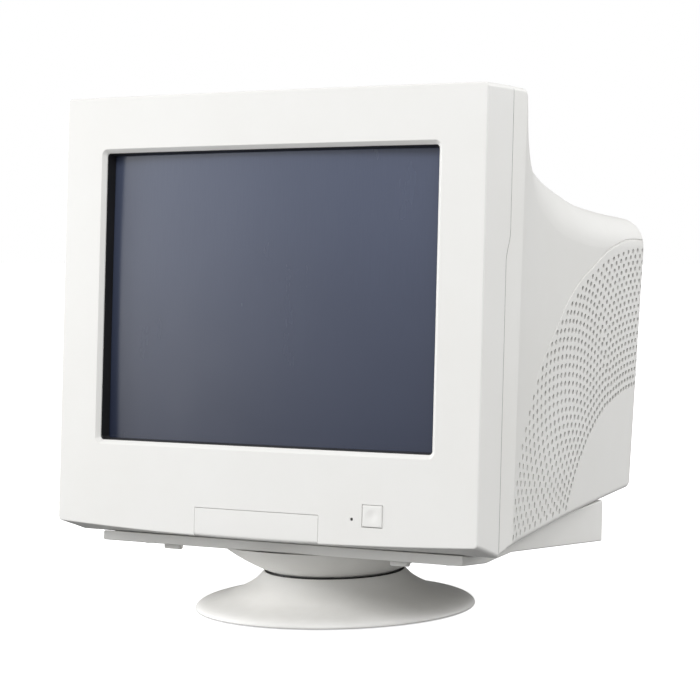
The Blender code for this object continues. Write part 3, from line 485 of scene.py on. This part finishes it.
def front_bezel():
    half = CABINET_W / 2
    w, h = WINDOW_W / 2 + 0.0006, WINDOW_H / 2 + 0.0006
    low, high = WINDOW_Z - h, WINDOW_Z + h
    window = np.linspace(low, high, len(SEAM_UPRIGHTS) + 2)[1:-1]
    rings = []
    for grow, depth, radius in ((0.0, 0.0062, 0.0030), (0.0, 0.0034, 0.0030), (0.00025, 0.0029, 0.0032),
                                (CHAMFER - 0.0003, 0.00035, 0.0052), (CHAMFER, 0.00008, 0.0055), (CHAMFER + 0.0004, 0.0, 0.0058)):
        rings.append(face_ring(w + grow, low - grow, high + grow, radius, depth, uprights=window))
    edge = 0.0013
    for k in range(6):
        angle = math.radians(90 * k / 5)
        inset, depth = edge * (1 - math.sin(angle)), edge * (1 - math.cos(angle))
        rings.append(face_ring(half - inset, inset, FACE_H - inset, CORNER - 0.6 * inset, depth, sag=FACE_SAG, uprights=SEAM_UPRIGHTS))
    for share in (0.5, 1.0):
        ring = face_ring(half, -0.0085 * share, FACE_H + 0.001 * share, CORNER, lambda z, s=share: (seam_y(z) - 0.0009) * s + 0.002 * (1 - s),
                         bow=FACE_BOW * (1 - share), sag=FACE_SAG * (1 - share), uprights=SEAM_UPRIGHTS)
        rings.append(ring)
    for inset, ahead in ((0.00012, 0.00045), (0.0004, 0.00012), (0.0009, 0.0)):
        rings.append(face_ring(half - inset, -0.0085 + inset, FACE_H + 0.001 - inset, CORNER - inset, lambda z, a=ahead: seam_y(z) - a,
                               bow=0.0, uprights=SEAM_UPRIGHTS))
    rings.append(face_ring(half - WALL, -0.0057, FACE_H - 0.0018, 0.0030, seam_y, bow=0.0, uprights=SEAM_UPRIGHTS))
    rings.append(face_ring(half - WALL, 0.0028, FACE_H - WALL, 0.0030, 0.0030, sag=FACE_SAG, uprights=SEAM_UPRIGHTS))
    rings.append(face_ring(w + CHAMFER + 0.001, low - CHAMFER - 0.001, high + CHAMFER + 0.001, 0.006, 0.0062, uprights=window))
    points, faces = skin(rings, closed=True)
    bezel = soften(raw_object("bezel", to_world(points), faces, BEZEL), 32.0)
    cx, cz, bw, bh = BUTTON
    cuts = [cutter_box((FLAP_X[0] - 0.00035, -0.01, -0.02), (FLAP_X[1] + 0.00035, 0.0135, FLAP_TOP_Z + 0.00035)),
            cutter_box((cx - bw / 2 - 0.0004, -0.01, cz - bh / 2 - 0.0004), (cx + bw / 2 + 0.0004, 0.01, cz + bh / 2 + 0.0004))]
    angles = np.linspace(0, 2 * np.pi, 24, endpoint=False)
    hole = 0.00135 * np.stack([np.cos(angles), np.sin(angles)], 1)
    lamp = prism("cutter", hole, (LIGHT[0], 0, LIGHT[1]), (1, 0, 0), (0, 0, 1), (0, 1, 0), -0.01, 0.012)
    lamp.data.vertices.foreach_set("co", to_world([v.co[:] for v in lamp.data.vertices]).astype(np.float32).ravel())
    carve(bezel, joined(cuts + [lamp]))
    return belongs(bezel, "head", "case_plastic", "front_bezel")


def screen_surround():
    half_w, half_h = WINDOW_W / 2, WINDOW_H / 2
    low, high = WINDOW_Z - half_h, WINDOW_Z + half_h
    rings = []
    for grow, depth, radius, bow in ((-0.0010, 0.0096, 0.0020, 0.0100), (-0.0008, 0.0080, 0.0020, 0.0085), (0.0, 0.0042, 0.0025, 0.005),
                                     (0.0003, 0.0039, 0.0027, 0.005), (0.0011, 0.0039, 0.0035, 0.005), (0.0030, 0.0066, 0.0050, 0.0090),
                                     (0.0080, 0.0068, 0.0080, 0.0100), (0.0080, 0.0092, 0.0080, 0.0100), (0.0020, 0.0096, 0.0040, 0.0100)):
        rings.append(face_ring(half_w + grow, low - grow, high + grow, radius, depth, bow=bow))
    points, faces = skin(rings, closed=True)
    ring = soften(raw_object("window_surround", to_world(points), faces, BLACK), 40.0)
    return belongs(ring, "head", "black_plastic", "screen_surround")


def screen():
    half_w, half_h = 0.1715, 0.1295
    columns, rows = 57, 43
    xs, zs = np.linspace(-half_w, half_w, columns), np.linspace(WINDOW_Z - half_h, WINDOW_Z + half_h, rows)
    grid = np.array([(x, 0.0098 + x * x / 4 + (z - WINDOW_Z) ** 2 / 12, z) for z in zs for x in xs])
    faces = [(r * columns + c, r * columns + c + 1, (r + 1) * columns + c + 1, (r + 1) * columns + c)
             for r in range(rows - 1) for c in range(columns - 1)]
    rim = [c for c in range(columns)] + [r * columns + columns - 1 for r in range(1, rows)]
    rim += [(rows - 1) * columns + c for c in range(columns - 2, -1, -1)] + [r * columns for r in range(rows - 2, 0, -1)]
    start = len(grid)
    back = grid[rim] * (1, 0, 1) + (0, 0.058, 0)
    for i in range(len(rim)):
        j = (i + 1) % len(rim)
        faces.append((rim[i], rim[j], start + j, start + i))
    faces.append(tuple(range(start, start + len(rim))))
    glass = soften(raw_object("screen", to_world(np.concatenate([grid, back])), faces, GLASS), 30.0)
    return belongs(glass, "head", "tube_glass", "tube_faceplate")


# ---------------------------------------------------------------- flap, button
def flap():
    xs = np.linspace(FLAP_X[0], FLAP_X[1], 25)
    sections = []
    for x in xs:
        bow = (2 * x / CABINET_W) ** 2
        y, low, top = FACE_BOW * bow, -FACE_SAG * (1 - bow), FLAP_TOP_Z
        section = [(y + 0.0026, low + 0.0010), (y + 0.0026, top), (y + 0.0005, top), (y + 0.00015, top - 0.00015), (y, top - 0.0005),
                   (y, top * 0.5), (y, low + 0.0030), (y + 0.0002, low + 0.0018), (y + 0.0008, low + 0.0008), (y + 0.0016, low + 0.0004)]
        sections.append([(x, *p) for p in section])
    points, faces = skin(sections, cap_first=True, cap_last=True)
    door = soften(raw_object("flap", to_world(points), faces, BEZEL), 38.0)
    pins = []
    hinge = np.array([0.0, 0.0056, 0.0012])
    for x, way in ((FLAP_X[0], -1), (FLAP_X[1], 1)):
        low, high = sorted((x, x - way * 0.002))
        pins.append(rounded_box(f"flap_ear_{way + 2}", (low, 0.0020, -0.0001), (high, 0.0069, 0.0025), 0.0003, BEZEL))
        angles = np.linspace(0, 2 * np.pi, 24, endpoint=False)
        ring = 0.0011 * np.stack([np.cos(angles), np.sin(angles)], 1)
        start, end = sorted((x - way * 0.001, x + way * 0.0022))
        pin = prism(f"flap_pin_{way + 2}", ring, hinge * (0, 1, 1), (0, 1, 0), (0, 0, 1), (1, 0, 0), start, end)
        pin.data.vertices.foreach_set("co", to_world([v.co[:] for v in pin.data.vertices]).astype(np.float32).ravel())
        pin.data.materials.append(BEZEL.material)
        pins.append(soften(pin))
    for piece in pins:
        belongs(piece, "flap", "case_plastic")
    return belongs(door, "flap", "case_plastic", "flap_door")


def power_button():
    """A square cap with a crowned edge and a shallow round dish in its middle."""
    cx, cz, w, h = BUTTON
    steps = 33
    xs, zs = np.linspace(-1, 1, steps), np.linspace(-1, 1, steps)
    grid = []
    for v in zs:
        for u in xs:
            x, z = u * w / 2, v * h / 2
            edge = min(w / 2 - abs(x), h / 2 - abs(z))
            crown = 0.0007 * (1 - min(edge / 0.0008, 1.0)) ** 2
            dish = 0.00055 * max(0.0, 1 - (math.hypot(x, z) / 0.0062) ** 2) ** 2
            grid.append((cx + x, 0.0009 + crown + dish + 0.0002, cz + z))
    faces = [(r * steps + c, r * steps + c + 1, (r + 1) * steps + c + 1, (r + 1) * steps + c)
             for r in range(steps - 1) for c in range(steps - 1)]
    rim = list(range(steps)) + [r * steps + steps - 1 for r in range(1, steps)]
    rim += [(steps - 1) * steps + c for c in range(steps - 2, -1, -1)] + [r * steps for r in range(steps - 2, 0, -1)]
    grid = np.array(grid)
    back = grid[rim] * (1, 0, 1) + (0, 0.0100, 0)
    start = len(grid)
    for i in range(len(rim)):
        j = (i + 1) % len(rim)
        faces.append((rim[i], rim[j], start + j, start + i))
    faces.append(tuple(range(start, start + len(rim))))
    cap = soften(raw_object("power_cap", to_world(np.concatenate([grid, back])), faces, BEZEL), 40.0)
    stem = rounded_box("power_stem", (cx - 0.002, 0.0099, cz - 0.002), (cx + 0.002, 0.0138, cz + 0.002), 0.0003, BEZEL)
    belongs(stem, "power_button", "case_plastic")
    return belongs(cap, "power_button", "case_plastic", "power_button")


# ---------------------------------------------------------------- rear cover
TOP_AT = (0.0400, 0.0665, 0.0690, 0.0730, 0.0790, 0.0870, 0.0980, 0.1150, 0.1500, 0.2000, 0.2600, 0.3200, 0.3660, 0.3860)
TOP_Z = (0.3595, 0.3595, 0.3585, 0.3500, 0.3420, 0.3370, 0.3318, 0.3244, 0.3115, 0.2955, 0.2824, 0.2780, 0.2768, 0.2756)
RADIUS_AT = (0.0400, 0.0660, 0.0760, 0.0920, 0.1150, 0.1500, 0.2000, 0.2600, 0.3200, 0.3660, 0.3860)
RADIUS = (0.0036, 0.0036, 0.026, 0.045, 0.056, 0.056, 0.048, 0.038, 0.030, 0.026, 0.024)
LOW_AT = (0.0400, 0.0610, 0.1180, 0.2040, 0.2980, 0.3800, 0.3860)
LOW_Z = (-0.0085, -0.0020, 0.0046, 0.0155, 0.0263, 0.0355, 0.0362)


def cover_half(y):
    y = np.asarray(y, float)
    back = np.maximum(y, 0.068) - 0.068
    flare = 0.0011 * np.clip((0.068 - y) / 0.027, 0, 1)
    return 0.205 - flare - 0.12 * back - 0.0099 * (1 - np.exp(-back / 0.055))


def cover_depth(y, z):
    """Where a station of the cover lies at a height: the band leans with the seam, and the back wall leans back."""
    front = 0.0208 * (z - 0.33) * (1 - ramp(y, 0.066, 0.16)) * ramp(y, 0.047, 0.066)
    return y + front + 0.084 * (z - 0.15) * np.clip((y - 0.10) / 0.25, 0, 1)


def cover_ring(y, inset=(0.0, 0.0, 0.0), thin=0.0, depth=None):
    side, top_inset, low_inset = inset
    half = float(cover_half(y)) - side - thin
    top = float(smooth_curve(TOP_AT, TOP_Z, y)) - top_inset - thin
    low = float(np.interp(y, LOW_AT, LOW_Z)) + low_inset + thin
    radius = max(float(smooth_curve(RADIUS_AT, RADIUS, y)) - thin, 0.003)
    flat = rectangle(half, low, top, radius, 0.0045, corner=12, across=31, uprights=np.concatenate([SEAM_UPRIGHTS, [0.0]]))
    z = flat[:, 1]
    station = depth(z) if depth else cover_depth(y, z)
    return np.stack([flat[:, 0], station, z], 1)


def rear_cover():
    gap = 0.0017
    rings = []
    for inset, behind in ((0.0020, 0.0), (0.0004, 0.0), (0.0001, 0.0001), (0.0, 0.0004)):
        rings.append(cover_ring(0.0425, (inset, inset, inset), depth=lambda z, b=behind: seam_y(z) + gap + b))
    for y in (0.0520, 0.0600, 0.0655, 0.0672, 0.0682, 0.0692, 0.0705, 0.0722, 0.0745, 0.0775, 0.0815, 0.0865, 0.0930, 0.1010, 0.1110,
              0.1240, 0.1400, 0.1580, 0.1780, 0.2000, 0.2250, 0.2500, 0.2750, 0.3000, 0.3250, 0.3450, 0.3600):
        rings.append(cover_ring(y))
    start = 0.3670
    for k in range(9):
        angle = math.radians(90 * k / 8)
        push, drop = math.sin(angle), 1 - math.cos(angle)
        y = start + 0.0125 * push
        rings.append(cover_ring(y, (0.0070 * drop, 0.0180 * drop, 0.0050 * drop)))
    flat = cover_ring(y, (0.016, 0.030, 0.014))
    rings.append(flat)
    outside = len(rings)
    rings.append(cover_ring(y - 0.003, (0.0170, 0.0310, 0.0150)))
    for y in (0.3560, 0.3250, 0.2750, 0.2250, 0.1780, 0.1400, 0.1110, 0.0930, 0.0815, 0.0745, 0.0700):
        rings.append(cover_ring(y, (0.0, 0.0, 0.0), WALL))
    rings.append(cover_ring(0.0600, thin=WALL))
    rings.append(cover_ring(0.0425, thin=WALL, depth=lambda z: seam_y(z) + gap + 0.001))
    count = len(rings[0])
    points, faces = skin(rings, closed=True)
    # The ring between the back wall's outside and inside is a wall only at its edge: close both sides instead.
    bridge = range((outside - 1) * count, outside * count)
    faces = [f for i, f in enumerate(faces) if i not in bridge]
    faces.append(tuple(range((outside - 1) * count, outside * count)))
    faces.append(tuple(reversed(range(outside * count, (outside + 1) * count))))
    cover = soften(raw_object("rear_case", to_world(points), faces, CASE), 42.0)
    # The cover's front edge inside the seam's gap is painted black: a painted shadow that makes the seam read as a dark
    # line.
    cover.data.materials.append(BLACK.material)
    for face in cover.data.polygons[:2 * count]:
        face.material_index = 1
    cuts = [cutter_box((-0.1555, 0.092, -0.03), (0.1555, 0.291, 0.06))]
    carve(cover, joined(cuts))
    carve(cover, joined(grille_holes() + grille_edges() + top_slots()))
    return belongs(cover, "head", "case_plastic", "rear_cover")


# Where the side's perforations start and end: (y, z) of the outermost and innermost arcs, from the back edge down.
OUTER = ((377.1, 247.3), (363.7, 246.7), (351.6, 245.4), (339.3, 244.0), (326.4, 241.7), (313.6, 239.3), (302.1, 236.3), (288.5, 233.2),
         (276.2, 229.0), (263.3, 224.2), (250.2, 218.9), (238.3, 213.6), (225.8, 207.8), (214.1, 200.9), (201.4, 194.0), (190.5, 186.1),
         (178.3, 177.6), (166.8, 169.2), (154.2, 159.2), (143.6, 149.9), (132.6, 139.0), (121.8, 128.2), (111.5, 115.8), (102.0, 103.5),
         (92.8, 90.3), (84.4, 77.0), (77.4, 62.4), (71.6, 48.4), (67.6, 34.2), (64.8, 19.6), (63.2, 6.1))
INNER = ((374.5, 128.3), (366.0, 127.6), (359.0, 126.6), (352.1, 125.4), (344.9, 124.1), (338.1, 122.6), (331.3, 120.9), (324.3, 119.1),
         (317.6, 117.2), (310.7, 115.1), (303.9, 112.8), (296.8, 110.4), (290.5, 108.1), (284.1, 104.8), (278.2, 101.5), (272.6, 98.3),
         (266.7, 94.7), (261.2, 90.9), (255.7, 87.0), (249.3, 82.5), (244.3, 77.4), (239.5, 73.0), (234.5, 67.9), (229.3, 63.5),
         (225.0, 57.8), (220.1, 52.4), (215.8, 46.4), (211.5, 40.8), (207.7, 35.5), (203.8, 29.5), (200.5, 23.0))
ARCS = 20


def slot_outline(half_w, half_h, points=12):
    angles = np.linspace(0, 2 * np.pi, points, endpoint=False) + np.pi / points
    return np.stack([half_w * np.sign(np.cos(angles)) * np.abs(np.cos(angles)) ** 0.8,
                     half_h * np.sign(np.sin(angles)) * np.abs(np.sin(angles)) ** 0.8], 1)


def hole_place(k, j):
    """(y, z) of the hole on arc k of row j, where a whole row has two steps of j."""
    outer, inner = np.array(OUTER) / 1000, np.array(INNER) / 1000
    at = j / 2
    a = np.array([np.interp(at, range(len(OUTER)), outer[:, i]) for i in (0, 1)])
    b = np.array([np.interp(at, range(len(INNER)), inner[:, i]) for i in (0, 1)])
    share = k / ARCS
    share = share - 0.06 * share * (1 - share) * 4 * (0.5 if j < 20 else 1.0)
    return a + (b - a) * share


def grille_holes():
    """The staggered perforations of both sides."""
    found = []
    outline = slot_outline(0.0020, 0.0027)
    rows = 2 * (len(OUTER) - 1)
    for side in (-1, 1):
        for j in range(rows + 1):
            for k in range(ARCS + 1):
                if (j + k) % 2:
                    continue
                y, z = hole_place(k, j)
                before, after = hole_place(k, max(j - 1, 0)), hole_place(k, min(j + 1, rows))
                run = before - after
                run = run / np.linalg.norm(run)
                slope = float(cover_half(y + 0.001) - cover_half(y - 0.001)) / 0.002
                normal = np.array([1.0, -slope, 0.0]) / math.hypot(1.0, slope)
                along = np.array([slope * run[0], run[0], run[1]])
                along -= normal * along.dot(normal)
                along /= np.linalg.norm(along)
                across = np.cross(normal, along)
                centre = np.array([float(cover_half(y)), y, z])
                flip = np.array([side, 1, 1])
                points = [centre * flip, across * flip, along * flip, normal * flip]
                found.append(prism("hole", outline, *points, -0.006, 0.006))
                hole = found[-1].data
                hole.vertices.foreach_set("co", to_world([v.co[:] for v in hole.vertices]).astype(np.float32).ravel())
    return found


# The step line that runs round the perforations, (y, z) in mm from the back edge down.
EDGE = ((379.5, 256.7), (351.1, 255.9), (291.3, 244.2), (257.4, 230.3), (221.2, 214.4), (192.8, 197.3), (167.6, 176.2), (135.1, 148.0),
        (112.0, 125.5), (96.8, 106.8), (83.0, 85.5), (74.0, 64.9), (68.8, 46.0))


def grille_edges():
    """A fine V groove round the perforations of each side, which runs out towards its lower end."""
    knots = np.array(EDGE) / 1000
    run = np.concatenate([[0], np.cumsum(np.linalg.norm(np.diff(knots, axis=0), axis=1))])
    at = np.linspace(0, run[-1], 70)
    line = np.stack([smooth_curve(run, knots[:, i], at) for i in (0, 1)], 1)
    found = []
    for side in (-1, 1):
        flip = np.array([side, 1, 1])
        rings = []
        for k, (y, z) in enumerate(line):
            ahead = line[min(k + 1, len(line) - 1)] - line[max(k - 1, 0)]
            ahead /= np.linalg.norm(ahead)
            slope = float(cover_half(y + 0.001) - cover_half(y - 0.001)) / 0.002
            normal = np.array([1.0, -slope, 0.0]) / math.hypot(1.0, slope)
            along = np.array([slope * ahead[0], ahead[0], ahead[1]])
            across = np.cross(normal, along / np.linalg.norm(along))
            fade = 1 - 0.8 * float(ramp(k / len(line), 0.45, 1.0))
            centre = np.array([float(cover_half(y)), y, z])
            wide, deep = 0.0007 * fade, 0.0008 * fade
            section = [centre + across * wide * 2 + normal * 0.001, centre - across * wide * 2 + normal * 0.001,
                       centre - across * wide * 0.3 - normal * deep, centre + across * wide * 0.3 - normal * deep]
            rings.append(np.array(section) * flip)
        points, faces = skin(rings, cap_first=True, cap_last=True)
        found.append(raw_object("edge_line", to_world(points), faces))
    return found


def top_slots():
    """Nine cooling slots across the back of the cover's top."""
    return [cutter_box((-0.096 + 0.024 * k - 0.003, 0.235, 0.255), (-0.096 + 0.024 * k + 0.003, 0.335, 0.30)) for k in range(9)]


# ---------------------------------------------------------------- tray under the head
def bottom_cover():
    def top(y):
        under_bezel = float(np.interp(y, (0.034, 0.041), (-0.0083, -0.0093)))
        return float(np.interp(y, LOW_AT, LOW_Z)) - 0.0004 if y > 0.058 else under_bezel

    half_at, half = (0.032, 0.057, 0.073, 0.088, 0.119, 0.297), (0.1770, 0.1764, 0.1757, 0.1750, 0.1737, 0.1655)
    floor_at, floor = (0.032, 0.057, 0.073, 0.088, 0.119, 0.297), (-0.0164, -0.0164, -0.0164, -0.0143, -0.0100, -0.0100)
    rings = []
    for inset, ys in ((0.0010, (0.0322,)), (0.0004, (0.0324,)), (0.0, (0.0330, 0.0450, 0.0570, 0.0730, 0.0880, 0.1190, 0.2000, 0.2850, 0.2960)),
                      (0.0004, (0.2966,)), (0.0010, (0.2969,))):
        for y in ys:
            w, low = float(np.interp(y, half_at, half)) - inset, float(np.interp(y, floor_at, floor)) + inset
            flat = rectangle(w, low, top(y) - inset, 0.0014, corner=4, across=15, uprights=np.linspace(low, top(y), 6)[1:-1])
            rings.append(np.stack([flat[:, 0], np.full(len(flat), y), flat[:, 1]], 1))
    points, faces = skin(rings, cap_first=True, cap_last=True)
    tray = soften(raw_object("tray", to_world(points), faces, CASE), 30.0)
    carve(tray, joined([cutter_box((-0.062, 0.283, -0.0050), (0.062, 0.31, 0.0200))]))
    return belongs(tray, "head", "case_plastic", "bottom_cover")


# ---------------------------------------------------------------- dome and pedestal
DOME_R = 0.150
BASE_AT = (0.0, -0.0840, 0.0)


def tilt_dome():
    inner_r = DOME_R - 0.003
    outer = [(DOME_R * math.sin(a), -DOME_R * math.cos(a)) for a in np.radians(np.linspace(0.02, 39.6, 40))]
    inner = [(inner_r * math.sin(a), -inner_r * math.cos(a)) for a in np.radians(np.linspace(38.4, 0.02, 40))]
    dome = soften(turned("dome", outer + inner, 128, CASE, TILT_CENTRE, to_world), 40.0, False)
    y = TILT_CENTRE[1]
    carve(dome, cutter_box((-0.12, 0.0, -0.0167), (0.12, 0.1196, 0.05)))
    carve(dome, joined([cutter_box((-0.12, 0.1190, -0.0103), (0.12, 0.25, 0.05)), cutter_box((-0.0098, y - 0.025, -0.06), (0.0098, y + 0.05, -0.03))]))
    return belongs(dome, "head", "case_plastic", "tilt_dome")


def pedestal():
    seat = DOME_R + 0.0003
    dish = [(r, 0.1723 - math.sqrt(seat ** 2 - r * r)) for r in np.linspace(0.0098, 0.0545, 12)]
    lip = [(0.0556, 0.0300), (0.0562, 0.0303), (0.0575, 0.0305), (0.0584, 0.0309), (0.0589, 0.0318), (0.0594, 0.0322), (0.0600, 0.0320)]
    at = (0.0600, 0.0622, 0.0650, 0.0695, 0.0750, 0.0810, 0.0880, 0.0960, 0.1045, 0.1110, 0.1155, 0.1174)
    height = (0.0320, 0.0298, 0.0268, 0.0232, 0.0198, 0.0168, 0.0138, 0.0114, 0.0094, 0.0078, 0.0060, 0.0046)
    flare = [(r, float(smooth_curve(at, height, r))) for r in np.linspace(0.0605, 0.1174, 44)]
    rim = [(0.1182, 0.0036), (0.1186, 0.0027), (0.1186, 0.0019), (0.1182, 0.0013), (0.1174, 0.0011), (0.1150, 0.0011)]
    under = [(0.1115, 0.0045), (0.1030, 0.0065), (0.0880, 0.0105), (0.0740, 0.0164), (0.0570, 0.0262)]
    below = [(r, 0.1723 - math.sqrt((seat + 0.003) ** 2 - r * r)) for r in np.linspace(0.046, 0.0098, 6)]
    foot = turned("foot_disc", dish + lip + flare + rim + under + below, 160, FOOT, BASE_AT)
    # The dish and lip inside the ring, under the dome, are painted black: a painted shadow for the gap between dome and
    # ring.
    foot.data.materials.append(BLACK.material)
    for face in foot.data.polygons:
        if math.hypot(face.center.x - BASE_AT[0], face.center.y - BASE_AT[1]) < 0.0592 and face.center.z > 0.0 and face.normal.z > 0.1:
            face.material_index = 1
    return belongs(soften(foot, 50.0, False), "base", "case_plastic", "pedestal")


for make in (front_bezel, screen_surround, screen, flap, power_button, rear_cover, bottom_cover, tilt_dome, pedestal):
    make()

# ---------------------------------------------------------------- CAD nodes that stay
KEPT = {
    CASE: ["control_pocket", "stand_off_pad_1", "stand_off_pad_2"] + [f"control_button_{k}" for k in range(1, 5)],
    BLACK: ["degauss_coil", "tube_socket", "mains_inlet", "swivel_saddle"],
    RUBBER: ["anode_cap"] + [f"foot_{k}" for k in range(1, 6)],
    FERRITE: ["convergence_ring_1", "convergence_ring_2", "convergence_ring_3", "flyback_transformer"],
    STEEL: ["shadow_mask", "electron_gun", "tube_band", "neck_shield", "chassis_tray", "connector_panel", "pivot_washer"],
    SCREWS: ["pivot_bolt", "pivot_nut"] + [f"{kind}_screw_{k}" for kind in ("cover", "tube") for k in range(1, 5)],
    ALUMINIUM: ["heat_sink"],
    WINDING: ["deflection_yoke", "power_transformer"],
    BOARD: ["main_board", "neck_board", "control_board"],
    LEAD: ["anode_lead"],
    CAN: ["main_capacitor", "filter_capacitor"],
    SHELL: ["video_socket"],
    COAT: ["tube_funnel"],
    LENS: ["status_light_guide"],
}
for finish, names in KEPT.items():
    for name in names:
        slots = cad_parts[name].data.materials
        slots.clear()
        slots.append(finish.material)


# ---------------------------------------------------------------- floor, light, camera
def seen_white(tree, lit, white, out):
    """The camera sees plain white here, and everything else is lit by the darker studio."""
    path = tree.nodes.new("ShaderNodeLightPath")
    blend = tree.nodes.new("ShaderNodeMixShader")
    tree.links.new(path.outputs["Is Camera Ray"], blend.inputs["Fac"])
    tree.links.new(lit, blend.inputs[1])
    tree.links.new(white, blend.inputs[2])
    tree.links.new(blend.outputs["Shader"], out)


def floor():
    bpy.ops.mesh.primitive_grid_add(x_subdivisions=8, y_subdivisions=8, size=14.0, location=(0, 0, -0.0002))
    plane = bpy.context.object
    plane.name = "floor"
    made = Finish("floor_white")
    made.feed("Base Color", made.mix(made.noise(2.0), (0.23, 0.23, 0.23), (0.25, 0.25, 0.25)))
    made.set(Roughness=0.9, Specular_IOR_Level=0.1)
    pale = made.node("ShaderNodeBsdfPrincipled", {"Base Color": (0.9, 0.9, 0.9, 1), "Roughness": 0.9, "Specular IOR Level": 0.1,
                                                  "Emission Color": (1, 1, 1, 1), "Emission Strength": 0.85})
    out = made.tree.nodes["Material Output"]
    seen_white(made.tree, made.shader.outputs["BSDF"], pale.outputs["BSDF"], out.inputs["Surface"])
    plane.data.materials.append(made.material)


def area_light(name, place, aim, size, power, colour=(1.0, 1.0, 1.0)):
    data = bpy.data.lights.new(name, "AREA")
    data.shape = "RECTANGLE"
    data.size, data.size_y = size
    data.energy = power
    data.color = colour
    lamp = bpy.data.objects.new(name, data)
    lamp.location = place
    lamp.rotation_euler = (Vector(aim) - Vector(place)).to_track_quat("-Z", "Y").to_euler()
    SCENE.collection.objects.link(lamp)


# Each stands for a soft wall of light: where it is, how bright the room is that way, and the cosine at which it ends.
SKY = (((0.0, 0.0, 1.0), 0.06, -0.4), ((0.30, -0.95, 0.05), 0.48, -0.4), ((1.0, 0.75, 0.1), 0.50, -0.1), ((-0.95, -0.3, 0.05), 0.60, 0.3),
       ((-0.84, -0.54, -0.02), 2.2, 0.88))


def studio():
    world = bpy.data.worlds.new("studio")
    SCENE.world = world
    world.use_nodes = True
    tree = world.node_tree
    way = tree.nodes.new("ShaderNodeTexCoord").outputs["Generated"]
    total = None
    for direction, strength, edge in SKY:
        dot = tree.nodes.new("ShaderNodeVectorMath")
        dot.operation = "DOT_PRODUCT"
        tree.links.new(way, dot.inputs[0])
        dot.inputs[1].default_value = Vector(direction).normalized()
        part = tree.nodes.new("ShaderNodeMapRange")
        tree.links.new(dot.outputs["Value"], part.inputs["Value"])
        part.inputs["From Min"].default_value = edge
        part.inputs["To Max"].default_value = strength
        if total is None:
            total = part.outputs["Result"]
            part.inputs["To Min"].default_value = 0.20
            part.inputs["To Max"].default_value = 0.20 + strength
        else:
            add = tree.nodes.new("ShaderNodeMath")
            tree.links.new(total, add.inputs[0])
            tree.links.new(part.outputs["Result"], add.inputs[1])
            total = add.outputs["Value"]
    lit = tree.nodes["Background"]
    tree.links.new(total, lit.inputs["Strength"])
    lit.inputs["Color"].default_value = (1.0, 1.0, 1.0, 1.0)
    white = tree.nodes.new("ShaderNodeBackground")
    white.inputs["Strength"].default_value = 1.0
    white.inputs["Color"].default_value = (1.0, 1.0, 1.0, 1.0)
    seen_white(tree, lit.outputs["Background"], white.outputs["Background"], tree.nodes["World Output"].inputs["Surface"])
    area_light("key", (1.2, -2.5, 2.3), (0.05, -0.2, 0.25), (1.6, 1.2), 52.0)
    area_light("left", (-2.5, -0.6, 0.4), (0, -0.1, 0.02), (1.2, 1.0), 44.0)
    area_light("side", (2.2, 2.1, 1.6), (0.15, 0.0, 0.2), (1.4, 1.4), 40.0)
    SCENE.view_settings.view_transform = "Standard"


def camera():
    azimuth, elevation, roll = 0.5661, 0.0686, 0.0206
    ahead = Vector((-math.sin(azimuth) * math.cos(elevation), math.cos(azimuth) * math.cos(elevation), -math.sin(elevation)))
    right = ahead.cross(Vector((0, 0, 1))).normalized()
    up = right.cross(ahead)
    right, up = right * math.cos(roll) - up * math.sin(roll), right * math.sin(roll) + up * math.cos(roll)
    data = bpy.data.cameras.new("camera")
    data.sensor_width = 36.0
    data.lens = 128.9
    data.clip_end = 50.0
    made = bpy.data.objects.new("camera", data)
    turn = Matrix((right, up, -ahead)).transposed().to_4x4()
    made.matrix_world = Matrix.Translation((1.1458, -1.8554, 0.3626)) @ turn
    SCENE.collection.objects.link(made)
    SCENE.camera = made


floor()
studio()
camera()
